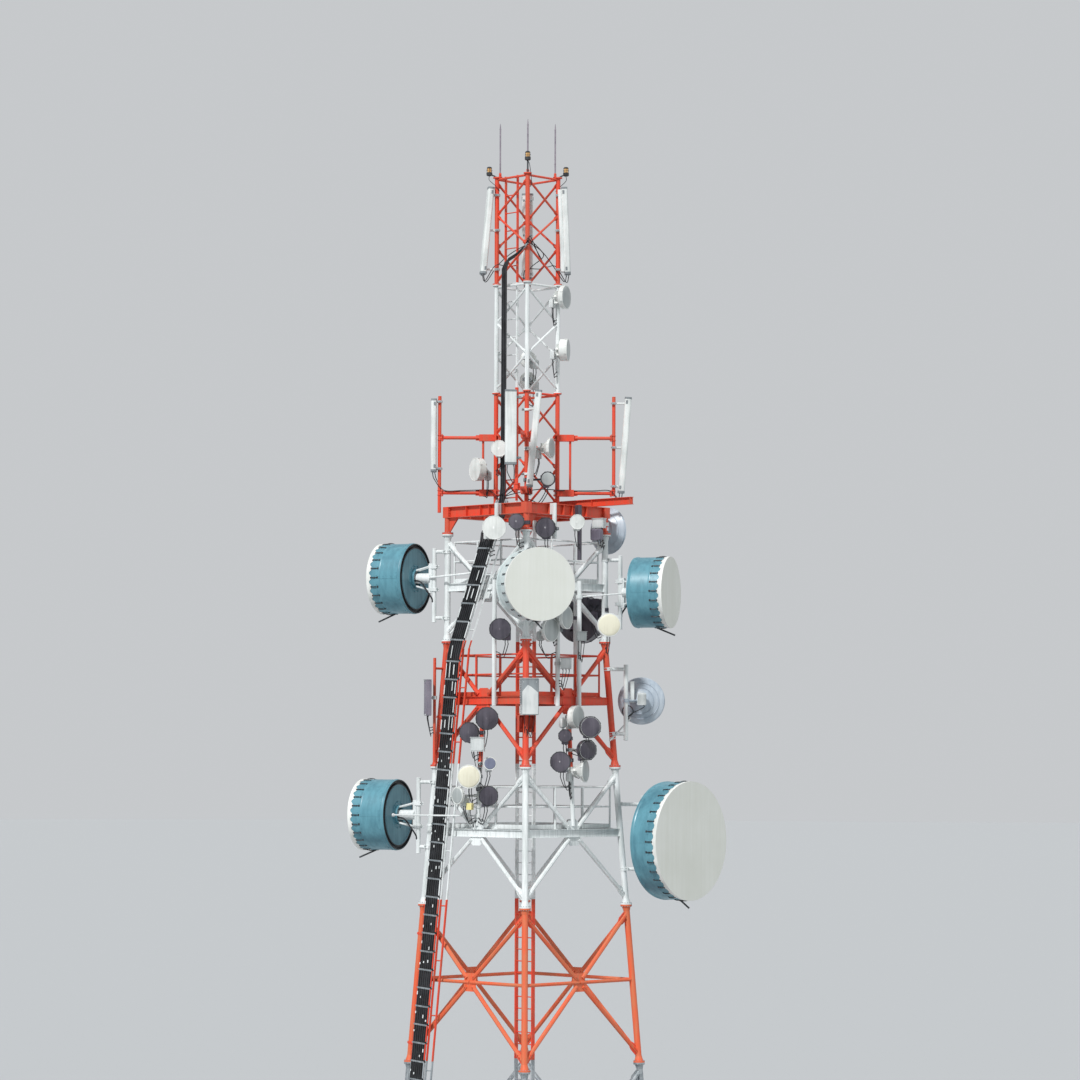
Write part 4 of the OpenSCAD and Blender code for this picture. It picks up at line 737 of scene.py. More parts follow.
def moulded(name, slot, code, worn_code, roughness=0.45, grain=0.0006):
    """The finish of a moulding, casting or powder coat: soft greying, rain marks, fine grain."""
    material, tree, shader, place = new_material(name)
    # Real rain marks are about 20 mm wide; they are drawn 110 mm wide so that they show
    _, _, amount = rain_marks(tree, place, (9.0, 9.0, 0.7), {"Detail": 5.0, "Roughness": 0.6},
                              {"Scale": 1.7, "Detail": 3.0})
    # The grain of the mould or coat is 1 mm wide, drawn 6 mm wide
    fine = add_node(tree, "ShaderNodeTexNoise", Vector=place, Scale=160.0, Detail=2.0)
    surface(tree, shader, (amount, (0.12, worn_code), (0.32, code)),
            (amount, roughness + 0.14, roughness - 0.04, 0.1, 0.4), (fine, 0.2, grain))
    return material, slot


panel_shell = moulded("white_fibreglass_radome", "panel_shell", "E3E7E5", "BFC5C3", 0.42)
cap_plastic = moulded("grey_moulded_end_cap", "panel_shell", "8D9497", "6C7276", 0.55)
finish_nodes(panel_shell, "top_panels sector_panels")

# Each panel: its foot, bearing, lean, depth, width and height
z_top, z_side = z_mast_top - 2.5, z_arm + 0.56
panels = [((-1.14, -0.06, z_top), 190, -5, 0.15, 0.29, 2.23),
          ((1.04, 0, z_top), 0, -2.5, 0.15, 0.29, 2.23),
          ((0, 1.04, z_top), 90, 0, 0.15, 0.29, 2.23),
          ((-2.39, 0, z_side), 180, 0, 0.14, 0.29, 1.85),
          ((arm_tips[2].x - 0.15, arm_tips[2].y - 0.17, z_side), 280, 0, 0.14, 0.29, 1.85),
          ((2.43, 0, z_arm + 0.03), 0, 4.3, 0.17, 0.17, 2.45),
          ((0.07, -1.1, z_arm + 0.1), 0, 5.4, 0.17, 0.17, 2.45)]


def rounded(t, w, r, sides=4):
    """Outline of a rounded rectangle, t along X and w along Y."""
    outline = []
    for k, (x, y) in enumerate(((1, 1), (-1, 1), (-1, -1), (1, -1))):
        corner = Vector((x * (t / 2 - r), y * (w / 2 - r), 0))
        outline += [(corner + spoke(r, 90 * (k + j / sides)))[:2] for j in range(sides + 1)]
    return outline


def slab(t, w, r, low, high, place):
    """A rounded rectangle drawn from one height to another."""
    return plate(rounded(t, w, r), high - low, place @ shift(0, 0, (low + high) / 2))


caps, sockets, ribs, socket_at = [], [], [], []
for foot, bearing, lean, t, w, h in panels:
    place = Matrix.Translation(foot) @ spin(bearing) @ spin(lean, "Y")
    caps += [slab(t + 0.012, w + 0.012, min(t, w) * 0.3 + 0.006, low, high, place)
             for low, high in ((-0.022, 0.035), (h - 0.035, h + 0.012))]
    for y in (-0.28, 0.28):
        for x in (-0.2, 0.2):
            down = place @ shift(x * t, y * w, -0.022) @ spin(180, "X")
            sockets.append(turned([(0.017, -0.002), (0.017, 0.022), (0.012, 0.025), (0.012, 0.042)],
                                  down, 12))
            socket_at.append(down @ up(0.03))
    if w > 0.2:
        ribs += [boxed((t / 2 + 0.001, y * w, h / 2), (0.006, 0.014, h - 0.09), place)
                 for y in (-0.3, 0.3)]
    caps += [boxed((-t * 0.18, side * (w / 2 + 0.003), dz), (0.05, 0.008, 0.09), place)
             for dz in (0.12, h - 0.12) for side in (-1, 1)]
build("panel_end_caps", caps, cap_plastic)
build("panel_connectors", sockets, zinc)
build("panel_ribs", ribs, panel_shell)
# The right top panel has a deeper housing behind its radome, so it looks wide from the side
place = Matrix.Translation(panels[1][0]) @ spin(-2.5, "Y") @ shift(-0.12, 0, 0)
build("right_panel_housing", [slab(0.1, 0.26, 0.03, 0.05, 2.18, place)], panel_shell)


# Panel jumpers: each feeder ends in a clamped connector, and thinner black cables run on
# from there to the top panels. The lower panels' cables drop to the ends of the feeders
# that stop at the mast's foot, each cable tied to the frame on its way.


def bent(knots, steps=6):
    """A smooth way through a few points, as a cable takes between its clips."""
    knots = [Vector(p) for p in knots]
    ends = [2 * knots[0] - knots[1], *knots, 2 * knots[-1] - knots[-2]]
    way = []
    for a, b, c, d in zip(ends, ends[1:], ends[2:], ends[3:]):
        for k in range(steps):
            t = k / steps
            way.append(0.5 * (2 * b + (c - a) * t + (2 * a - 5 * b + 4 * c - d) * t ** 2
                              + (3 * b - a - 3 * c + d) * t ** 3))
    return [*way, knots[-1]]


def level(way):
    """The level direction of a way."""
    return Vector((way[0], way[1], 0.0)).normalized()


feeder_tops, jumpers = [], []


def connect(end, run, panel, course):
    """A feeder's connector, and two jumpers that run on from it to a panel."""
    top = [(0.027, -0.02), (0.031, 0.0), (0.031, 0.05), (0.018, 0.07), (0.014, 0.11)]
    feeder_tops.append(turned(top, stand(end, run), 12))
    start = end + run * 0.1
    for j in (0, 3):
        goal = socket_at[4 * panel + j]
        jumpers.append(swept(bent([start, *course(start, goal, j), goal]), 0.011))


run = Vector((0.21, -0.16, 0.18)).normalized()
for s, panel, bearing in ((-1, 0, -160), (1, 1, -20), (0, 2, 20)):
    end = Vector((-0.09, -0.86, z_mast_red + 0.86)) + Vector((1, -1, 1)) * 0.044 * s
    connect(end, run, panel,
            lambda start, goal, j: [start + run * 0.1 + up(0.03 * j),
                                    spoke(0.45, bearing, z_mast_red + 0.8 - 0.1 * j),
                                    goal - level(goal) * 0.35 + up(0.25),
                                    goal - level(goal) * 0.07 - up(0.16)])
for y, panel, way in ((-0.2827, 3, ((-1.0, -0.07), (-1.6, -0.06), (-2.12, -0.06))),
                      (-0.2168, 4, ((-0.35, -1.15), (-0.3, -1.6), (-0.32, -2.05))),
                      (0.0468, 6, ((-0.2, -0.86),)),
                      (0.1127, 5, ((0.3, -0.5), (1.0, -0.07), (1.7, -0.06), (2.15, -0.06)))):
    connect(0.82 * heading(225) + y * heading(315) + up(z_mast + 0.06),
            Vector((0.021, 0.021, 0.16)).normalized(), panel,
            lambda start, goal, j: [start + up(0.1), *((px, py + 0.024 * (j > 0), z_mast + 0.43)
                                                       for px, py in way),
                                    goal - level(goal) * 0.05 - up(0.17)])
build("feeder_connectors", feeder_tops, zinc)
build("panel_jumpers", jumpers, sheath)


# Panel clamps: each bracket arm of a panel is a folded steel strut with a pivot bolt at
# the panel and a band of flat steel round the tube, drawn up by two bolts. Here the
# band's ears are drawn on both sides of the tube, with a bolt through each pair.

panel_clamps = []
holders = [(mast_leg(leg, 0), mast_r, (0.1, 1.115, 2.03)) for leg in (2, 0, 1)]
holders += [(arm_tips[1], arm_pole_r, (0.06, 1.79)), (arm_tips[2], arm_pole_r, (0.16, 1.69)),
            (arm_tips[0], arm_pole_r, (0.15, 1.15, 2.29)), (mast_leg(3, 0), mast_r, (0.33, 1.98))]
for (foot, *_), (tube, radius, heights) in zip(panels, holders):
    for dz in heights:
        place = stand((tube.x, tube.y, foot[2] + dz), (0, 0, 1), level(Vector(foot) - tube))
        for y in (-radius - 0.045, radius + 0.045):
            panel_clamps += [boxed((x, y, 0), (0.05, 0.035, 0.05), place) for x in (-0.03, 0.03)]
            panel_clamps.append(swept([(-0.075, y, 0), (0.075, y, 0)], 0.008, 8, place))
            panel_clamps += pinned(place, 0.056, y)
build("panel_clamp_bolts", panel_clamps, zinc)


# Top fittings: four lightning rods stand in welded sockets round the mast's top. Each of
# the three obstruction lamps is a ribbed glass lens on a cast base inside a guard of
# wires, on a dark arm or tube.

material, tree, shader, place = new_material("red_ribbed_lamp_glass")
film = add_node(tree, "ShaderNodeTexNoise", Vector=place, Scale=30.0, Detail=4.0)
# The lens has upright ribs 5 mm apart, drawn 14 mm apart
flutes = add_node(tree, "ShaderNodeTexWave", {"bands_direction": "X"}, Vector=place, Scale=22.0)
surface(tree, shader, (film, (0.35, "D9A05A"), (0.7, "EBC486")), (film, 0.1, 0.35),
        (flutes, 0.4, 0.003))
finish_nodes((material, "lamp_lens"), "warning_lamps")

casting = moulded("black_painted_casting", "dark_dish", "26282B", "43474A", 0.45, 0.0012)


def ring_bar(place, radius, thick, sides=6, steps=16):
    """A round bar bent into a ring about a place's Z."""
    return swept([spoke(radius, 360 * k / steps) for k in range(steps + 1)], thick, sides, place)


guards, lamp_cables = [], []
for x, y, z in ((-0.99, 0, 0.08), (0.99, 0, 0.08), (0, -mast_spread - 0.06, 0.35)):
    foot = Vector((x, y, z_mast_top + z))
    place = Matrix.Translation(foot)
    guards.append(turned([(0.05, -0.045), (0.075, -0.03), (0.078, 0.038), (0.062, 0.05),
                          (0.05, 0.05)], place))
    guards.append(turned([(0.05, 0.152), (0.066, 0.152), (0.066, 0.17), (0.044, 0.192),
                          (0.0, 0.199)], place))
    guards += [swept([spoke(0.07, 60 * k + 30, 0.03), spoke(0.074, 60 * k + 30, 0.1),
                      spoke(0.064, 60 * k + 30, 0.168)], 0.004, 6, place) for k in range(6)]
    guards.append(ring_bar(place @ shift(0, 0, 0.1), 0.074, 0.004, steps=24))
    # The lamp stands on a dark arm from a side leg, or on a short tube above the near one
    if x:
        root = Vector((x * 0.83 / 0.99, 0, z_mast_top))
        guards.append(turned([(0.0315, 0.001), (0.0315, 0.0215)], Matrix.Translation(root), 20))
        guards.append(swept([root + up(0.018), foot + up(0.01)], 0.0185, 12))
    else:
        guards.append(swept([foot - up(0.349), foot], 0.0215, 16))
    out = level(foot)
    side = up(1).cross(out)
    gland = foot - up(0.04)
    low = out * (mast_spread - 0.055) + up(z_mast_top - 0.35)
    knots = [gland, gland - up(0.12) + side * 0.05, low + (side + out) * 0.1 + up(0.12),
             low + side * 0.07, low]
    lamp_cables.append(swept(bent(knots), 0.008))
    guards.append(turned([(0.014, -0.01), (0.014, 0.02), (0.009, 0.03)], stand(low, side), 10))
build("lamp_guards", guards, casting)
build("lamp_cables", lamp_cables, sheath)

# The rods are galvanised bars in lengths that screw together at turned collars. Their zinc
# has weathered to a dull mauve grey.
dull_zinc = zinc_coat("weathered_zinc_on_the_rods", "7B747F", "958D96"), "galvanised"
finish_nodes(dull_zinc, "lightning_rods")
rod_sockets, rod_collars = [], []
for k in range(4):
    place = Matrix.Translation(spoke(0.71, 90 * k, z_mast_top))
    rod_sockets.append(turned([(0.034, -0.001), (0.034, 0.1), (0.0215, 0.112), (0.0205, 0.112)],
                              place, 16))
    rod_sockets.append(boxed((0, 0, 0.008), (0.11, 0.11, 0.012), place @ spin(90 * k)))
    rod_sockets += fasten(place @ spin(90 * k), [(0, 0.034, 0.06)], (0, 1, 0), 0.02, 0.012)
    rod_collars += [turned([(0.0205, z - 0.012), (0.0245, z), (0.0205, z + 0.012)], place, 12)
                    for z in (0.35, 1.25)]
build("rod_sockets", rod_sockets, red)
build("rod_collars", rod_collars, dull_zinc)


# Drum dishes: a spun aluminium shell and shroud in teal-grey powder coat. The shroud has
# a lapped seam on each side, a rolled bead near its back and rows of small screws.

drum_coat = moulded("teal_grey_powder_coat", "drum_shell", "6097A6", "487A8A", 0.34, 0.001)
pale_coat = moulded("pale_grey_powder_coat", "drum_shell", "D3DEDD", "AFBFC0", 0.36, 0.001)
finish_nodes(drum_coat, "drum_upper_left drum_upper_right drum_lower_left drum_lower_right")
finish_nodes(pale_coat, "drum_front")


def boresight(pole, z, bearing):
    """A dish's place: its origin in plan and height, Z along the boresight and X down."""
    return shift(*pole, z) @ spin(bearing) @ spin(90, "Y")


def side_spot(place, radius, angle, z):
    """A place on a drum's side: X outwards, Z along the boresight."""
    return place @ spin(angle) @ shift(radius, 0, z)


def rivet(place, angle, radius, z, size=0.016):
    """A pan head with its washer on a drum's side."""
    head = [(size, -0.001), (size, 0.003), (size * 0.7, 0.004), (size * 0.6, 0.01), (0.0, 0.012)]
    return turned(head, side_spot(place, radius, angle, z) @ spin(90, "Y"), 8)


def arc_strip(place, radius, thick, low, high, z0, z1, steps):
    """A thin curved strip on a drum's side between two angles."""
    corners = ((radius, z0), (radius + thick, z0), (radius + thick, z1), (radius, z1))
    return lofted([[place @ spoke(r, low + (high - low) * k / steps, z) for r, z in corners]
                   for k in range(steps + 1)])


# Each drum: its pole in plan, height and bearing, then its reach from the pole to its
# back, its radius and its depth
poles = {"upper_left": (-2.36, 0), "upper_right": (2.41, 0), "front": (0, -2.33),
         "lower_left": (-leg_spread(15.56) - 0.34, 0), "lower_right": (leg_spread(14.94) + 0.56, 0)}
drums = [(name, boresight(poles[name], z, bearing), *sizes) for name, z, bearing, *sizes in (
    ("upper_left", 21.62, 154.5, 0.53, 0.9, 0.95), ("upper_right", 21.26, -18.3, 0.43, 0.9, 0.92),
    ("front", 21.32, -70.7, 0.3, 0.9, 0.75), ("lower_left", 15.56, 155.5, 0.56, 0.9, 1.0),
    ("lower_right", 14.94, -39.1, 0.73, 1.49, 0.8))]

painted_shade_rings = []
for name, place, back, r, depth in drums:
    front, count = back + depth, 24 if r < 1 else 36
    bead = [(-0.001, -0.035), (0.006, -0.022), (0.013, 0.0), (0.006, 0.022), (-0.001, 0.035),
            (-0.001, -0.035)]
    shell = [turned([(r + a * size, at + b) for a, b in bead], place, 72)
             for at, size in ((back + 0.06, 1.0), (front - 0.33, 0.5))]
    wide = math.degrees(0.035 / r)
    for side in (-90, 90):
        shell.append(arc_strip(place, r, 0.004, side - wide, side + wide, back + 0.1,
                               front - 0.075, 4))
        shell += [rivet(place, side + turn, r + 0.004, back + 0.14 + (depth - 0.26) * k / 6, 0.009)
                  for k in range(7) for turn in (-wide * 0.6, wide * 0.6)]
    for k in range(count):
        shell.append(rivet(place, 360 * (k + 0.5) / count, r, back + 0.12))
        shell.append(rivet(place, 360 * (k + 0.25) / count, r, front - 0.27))
    # The groove behind the rim is lined with a thin black hoop, painted shade where the groove lies
    # in shadow
    inner, outer, mouth, bed = r - 0.0985, r - 0.0315, back + 0.003, back + 0.0585
    groove = [(inner, mouth), (inner, bed), (outer, bed), (outer, mouth)]
    lining = [(a + (0.0015 if a == inner else -0.0015), b - 0.002) for a, b in groove[::-1]]
    painted_shade_rings.append(turned([*groove, *lining, groove[0]], place, 64))
    # Two black rings on the back beside the groove widen the groove's painted shade
    painted_shade_rings += [arc_strip(place, edge, 0.025, 0, 360, back - 0.003, back - 0.0005, 64)
               for edge in (r - 0.031, r - 0.124)]
    # A flat ring stiffens the back between the groove and the hub, with a bolt circle
    for radius, half in ((r - 0.16, 0.015), (0.33, 0.02)):
        flat = [(-half, 0.001), (-half, -0.008), (half, -0.008), (half, 0.001), (-half, 0.001)]
        shell.append(turned([(radius + a, back + b) for a, b in flat], place, 64))
    shell += fasten(place, [spoke(0.33, 30 * k + 15, back - 0.008) for k in range(12)],
                    (0, 0, -1), 0.03, 0.014)
    build("drum_seams_" + name, shell, pale_coat if name == "front" else drum_coat)
build("drum_groove_mastic", painted_shade_rings, casting)


# Radomes: a coated fabric is stretched over the front of each drum, drawn over its rim
# and held by dark sprung hooks that catch the shroud, so its edge is scalloped.

material, tree, shader, place = new_material("coated_radome_fabric")
rain, _, amount = rain_marks(tree, place, (7.0, 7.0, 0.35), {"Detail": 5.0, "Roughness": 0.65},
                             {"Scale": 0.8, "Detail": 3.0})
# The fabric's weave is 1 mm wide, drawn 6 mm wide
weave = add_node(tree, "ShaderNodeTexVoronoi", Vector=place, Scale=160.0)
surface(tree, shader, (amount, (0.14, "D3D6CE"), (0.36, "DBDED8")), (rain, 0.42, 0.62),
        (weave.outputs["Distance"], 0.12, 0.0008))
finish_nodes((material, "radome"), "drum_radomes")

dark_steel = moulded("blackened_steel", "dark_dish", "2A2D31", "4A4F54", 0.4, 0.0012)
white_edge = moulded("white_fabric_hem", "radome", "EDEFEC", "D2D5D0", 0.5)
for name, place, back, r, depth in drums:
    front, count, per = back + depth, 24 if r < 1 else 36, 6
    n, outer = count * per, r + 0.0155
    points = []
    for k in range(n):
        pull = abs(math.cos(math.pi * k / per))
        edge, lift = front - 0.055 - 0.075 * pull ** 1.5, 0.004 * (1 - pull)
        points += [place @ spoke(radius, 360 * k / n, at) for radius, at in (
            (outer - 0.012, front + 0.0145), (outer, front + 0.008), (outer, front - 0.055),
            (outer - 0.010 + lift, edge), (outer - 0.0145 + lift, edge))]
    faces = [[5 * a + j, 5 * a + j + 1, 5 * b + j + 1, 5 * b + j]
             for a, b in ((k, (k + 1) % n) for k in range(n)) for j in range(4)]
    build("radome_hem_" + name, [(points, faces)], white_edge, 50.0)
    hooks = []
    for k in range(count):
        spot = side_spot(place, r, 360 * k / count, front)
        hooks.append(swept([(0.014, 0, -0.12), (0.02, 0, -0.15), (0.02, 0, -0.29),
                            (0.004, 0, -0.31)], 0.0075, 6, spot))
        hooks.append(swept([(0.02, 0, -0.16), (0.02, 0, -0.25)], 0.0135, 8, spot))
        hooks.append(boxed((0.006, 0, -0.305), (0.012, 0.05, 0.04), spot))
        hooks.append(boxed((0.013, 0, -0.115), (0.01, 0.045, 0.03), spot))
    # A bar hangs below the front rim, out of which the hoist's strap is led
    foot = side_spot(place, r, 0, front)
    hooks.append(swept([(0.005, 0, -0.36), (0.03, 0, -0.3), (0.2, 0, 0.12 if r < 1 else -0.06)],
                       0.022, 10, foot))
    hooks.append(boxed((0.008, 0, -0.35), (0.02, 0.16, 0.1), foot))
    build("radome_hooks_" + name, hooks, dark_steel)


# Drum mounts: the hub tube is stayed by four struts from the pocket to the spine, and
# the two clamps grip the pole with four long M20 bolts each.

for name, place, back, r, depth in drums:
    parts = []
    for x in (-1, 1):
        for y in (-1, 1):
            strut = [(x * 0.3, y * 0.045, 0.118), (x * 0.15, y * 0.1, back + 0.155)]
            parts.append(swept(strut, 0.024, 10, place))
            parts.append(boxed((x * 0.3, y * 0.045, 0.134), (0.07, 0.06, 0.012), place))
            for at in (x * 0.29 - 0.027, x * 0.29 + 0.027):
                shank = [(at, y * 0.07006, -0.115), (at, y * 0.07006, -0.08)]
                parts.append(swept(shank, 0.009, 8, place))
                parts += fasten(place, [(at, y * 0.07006, -0.081)], (0, 0, -1), 0.03, 0.018)
    parts += fasten(place, [spoke(0.175, 45 * k + 22.5, back + 0.16) for k in range(8)],
                    (0, 0, -1), 0.026, 0.014)
    build("mount_struts_" + name, parts, white)
    # The waveguide leaves the hub, bends down beside the spine and goes into the pole
    way = [(0.06, 0.0, back + 0.1), (0.06, 0.13, back + 0.02), (0.1, 0.19, back * 0.55),
           (0.3, 0.16, 0.15), (0.5, 0.08, 0.04), (0.6, 0.03, 0.02), (0.66, 0.0, 0.0)]
    mouth = stand(place @ Vector((0.61, 0.022, 0.016)), place.to_3x3() @ Vector((-0.6, 0.5, 0.2)))
    build("waveguide_" + name, [swept(bent(way), 0.021, 10, place), turned(
        [(0.034, -0.02), (0.034, 0.02), (0.026, 0.045)], mouth, 12)], sheath)


# Leg and pole clamps: each stand-off arm ends in a half clamp that is drawn onto the leg
# by two U-bolts, and every dish pole is closed by a cap at both ends.

pole_r = 0.057
fittings = []
for leg, pole, low, high, levels in (
        (2, poles["upper_left"], 20.5, 22.37, (20.6, 22.3)),
        (0, poles["upper_right"], 20.34, 22.2, (20.65, 22.1)),
        (3, poles["front"], 20.5, 22.2, (20.65, 22.05)),
        (2, poles["lower_left"], 14.6, 16.5, (14.75, 16.4)),
        (0, poles["lower_right"], 13.9, 16.05, (14.2, 15.85)),
        (0, (leg_spread(18.5) + 0.42, 0), 17.5, 19.4, (17.65, 19.3))):
    cap = [(pole_r, -0.001), (0.061, 0.0), (0.061, 0.01), (0.045, 0.02), (0.0, 0.022)]
    fittings += [turned(cap, stand((*pole, z), (0, 0, way)), 20)
                 for z, way in ((low, -1), (high, 1))]
    for z in levels:
        axis = leg_at(leg, z + 0.1) - leg_at(leg, z)
        for dz in (-0.03, 0.03):
            fittings += u_bolt(leg_at(leg, z) + axis.normalized() * dz, axis, heading(90 * leg),
                               0.087, 0.009)
build("pole_caps_and_u_bolts", fittings, white)


# Small dishes: a moulded radome clipped over a shroud, pale on some and dark on others.
# Each has a rolled rim with eight clips, ribs on its back and an outdoor radio behind it.

pale = moulded("white_moulded_radome", "pale_dish", "E2E5E2", "C6CAC6", 0.38)
dark_shell = moulded("dark_grey_moulded_radome", "dark_dish", "3F3C45", "5C5862", 0.26)
cream = moulded("cream_moulded_radome", "pale_dish", "E3E0CB", "CFCBB5", 0.4)
grey = moulded("grey_moulded_radome", "pale_dish", "ADB3B2", "979E9E", 0.36)
blue = moulded("blue_grey_moulded_radome", "pale_dish", "7D8399", "6B7186", 0.34)
# The open dishes' reflectors are white; their blue-grey is a middle tone between the lit white and
# their shaded backs, partly painted shade
reflector_metal_and_shade = moulded("spun_reflector_with_painted_shade", "pale_dish", "BEC8D1", "9DAAB6", 0.32)
radio_coat = moulded("light_grey_cast_radio_case", "radio_case", "D5D9D8", "B2B8B8", 0.45)
dark_radio = moulded("grey_violet_cast_radio_case", "radio_case", "6E6876", "8A8591", 0.42)
finish_nodes(pale, "pale_dishes")
finish_nodes(dark_shell, "dark_dishes")
finish_nodes(reflector_metal_and_shade, "right_dish")
finish_nodes(radio_coat, "radio_units")

outer_line = apothem(decks[1]) + 0.122


def face_middle(face, z):
    """Middle of a tower face at a height."""
    return (leg_at(face, z) + leg_at(face + 1, z)) / 2


def outer_pole(face, along, z):
    """A point on an upright pole outside a face."""
    return outer_line * heading(90 * face + 45) + along * heading(90 * face + 135) + up(z)


# The tubes that carry small fittings: a point on each one's axis at height z, and its radius
carriers = {
    "left_mid": (lambda z: face_middle(2, z), pole_r),
    "right_mid": (lambda z: face_middle(3, z), pole_r),
    "right_leg": (lambda z: leg_at(0, z), leg_r), "near_leg": (lambda z: leg_at(3, z), leg_r),
    "side_pole": (lambda z: Vector((-2.33, -0.25, z)), 0.038),
    "left_post": (lambda z: Vector((-1.12, 0, z)), 0.03),
    "right_pole": (lambda z: Vector((2.566, 0, z)), pole_r)}
for name, face, along in (("left_outer", 2, 0.51), ("near_outer", 3, -0.51), ("left_top", 2, 0.58),
                          ("right_outer", 3, 0.27), ("right_top", 3, 0.27),
                          ("rear_outer", 0, -0.18), ("near_top", 3, -0.64)):
    carriers[name] = lambda z, face=face, along=along: outer_pole(face, along, z), pole_r
for leg, name in enumerate(("mast_right", "mast_rear", "mast_left", "mast_near")):
    carriers[name] = lambda z, leg=leg: mast_leg(leg, z), mast_r

# Each dish: carrier, height and lift, centre of its face in plan, bearing, radius and
# depth. The first sixteen have a white shell and the others a dark one.
small = [
    ("left_mid", z_red_high - 0.25, 0, (-1.42, -1.65), -95, 0.29, 0.26),
    ("left_mid", z_red_high + 0.08, 0, (-0.89, -1.75), -80, 0.16, 0.19),
    ("left_mid", z_red_high - 0.73, 0, (-1.72, -1.48), -140, 0.21, 0.2),
    ("right_mid", z_red_high + 1.26, 0, (1.33, -1.41), -33, 0.28, 0.3),
    ("right_mid", z_red_high + 1.0, 0, (1.63, -1.9), -75, 0.265, 0.24),
    ("right_mid", z_red_high + 0.43, 0, (1.57, -1.62), -60, 0.25, 0.24),
    ("right_mid", z_red_high - 0.1, 0, (1.52, -1.36), -19, 0.28, 0.33),
    ("right_leg", z_white_high + 0.4, 0.06, (2.11, -0.98), -88, 0.29, 0.26),
    ("near_outer", z_white_high + 0.24, 0, (0.64, -1.92), -39, 0.3, 0.3),
    ("near_outer", z_white_high + 0.55, 0, (1.04, -1.8), -30, 0.28, 0.28),
    ("left_top", z_seat + 0.05, 0, (-0.81, -2.0), -92, 0.29, 0.26),
    ("right_top", z_seat + 0.2, 0, (1.28, -1.98), -85, 0.18, 0.2),
    ("mast_right", z_mast_white + 2.45, 0, (1.01, -0.33), -22, 0.3, 0.33),
    ("left_post", z_mast + 0.95, 0, (-1.33, -0.33), -151, 0.29, 0.33),
    ("mast_left", z_mast + 1.45, 0, (-0.7, -0.8), -90, 0.2, 0.2),
    ("mast_near", z_mast + 1.45, 0, (0.64, -0.96), -20, 0.25, 0.3),
    ("left_mid", z_red_high + 1.21, -0.06, (-0.97, -1.74), -85, 0.28, 0.23),
    ("left_mid", z_red_high + 0.86, 0, (-1.43, -1.5), -110, 0.25, 0.2),
    ("left_mid", z_red_high - 0.73, 0.16, (-0.92, -1.91), -75, 0.24, 0.23),
    ("right_mid", z_red_high + 0.78, -0.06, (0.99, -1.65), -90, 0.16, 0.19),
    ("right_mid", z_red_high + 0.13, 0.04, (0.87, -1.89), -100, 0.25, 0.23),
    ("right_leg", z_white_high + 0.82, 0, (1.82, 0.8), 75, 0.32, 0.26),
    ("rear_outer", z_white_high + 0.65, 0, (1.5, 1.8), 60, 0.625, 0.45),
    ("left_outer", z_white_high + 0.25, 0, (-0.65, -1.94), -88, 0.265, 0.23),
    ("near_top", z_seat + 0.05, 0, (0.48, -2.01), -95, 0.25, 0.23),
    ("near_leg", z_seat + 0.18, 0, (-0.25, -2.42), -95, 0.19, 0.2),
    ("mast_right", z_mast_white + 1.1, 0, (1.06, -0.2), -10, 0.28, 0.32),
    ("mast_rear", z_mast_white + 1.0, 0, (0.03, 1.15), 90, 0.21, 0.2),
    ("mast_rear", z_mast_white + 0.45, 0, (0.03, 1.15), 90, 0.21, 0.2),
    ("mast_near", z_mast + 0.65, 0, (0.54, -1.13), -80, 0.18, 0.18)]
# Covers by the dish's number, and shells drawn over the shroud with where each begins
tones = {0: cream, 7: cream, 1: blue, 4: dark_shell, 5: dark_shell,
         **dict.fromkeys((2, 3, 6, 8, 9, 12, 15, 26, 27, 28, 29), grey)}
shrouds = {1: (0.06, blue), 4: (0.15, dark_shell), 5: (0.15, dark_shell), 26: (0.2, pale),
           27: (0.08, pale), 28: (0.08, pale)}


def radio(place, w, h, d, fins=7):
    """A cast case on a place's YX plane: X down, Z out of its finned face."""
    shapes = [plate(rounded(h, w, 0.02), d, place)]
    shapes.append(plate(rounded(h + 0.02, w + 0.02, 0.026), 0.014, place @ shift(0, 0, d * 0.18)))
    shapes += [boxed((0, (k - (fins - 1) / 2) * w * 0.86 / (fins - 1), d / 2 + 0.012),
                     (h * 0.84, 0.006, 0.026), place) for k in range(fins)]
    low, high = -h / 2 + 0.004, -h / 2 - 0.035
    grip = [(low, -w * 0.25, 0), (high, -w * 0.23, 0), (high, w * 0.23, 0), (low, w * 0.25, 0)]
    spots = [(x, y, d * 0.18 + 0.007) for x in (-h / 2 + 0.03, h / 2 - 0.03)
             for y in (-w / 2 + 0.025, w / 2 - 0.025)]
    return [*shapes, swept(grip, 0.008, 8, place),
            *fasten(place, spots, width=0.016, height=0.008)]


def gland(carrier, z, toward):
    """A cable gland on a tube: its shape, its mouth and the way that it points."""
    axis, radius = carriers[carrier]
    out = level(toward)
    point = axis(z) + out * (radius - 0.004)
    body = [(0.018, 0.0), (0.018, 0.012), (0.013, 0.014), (0.013, 0.03), (0.009, 0.034)]
    return turned(body, stand(point, out), 8), point, out


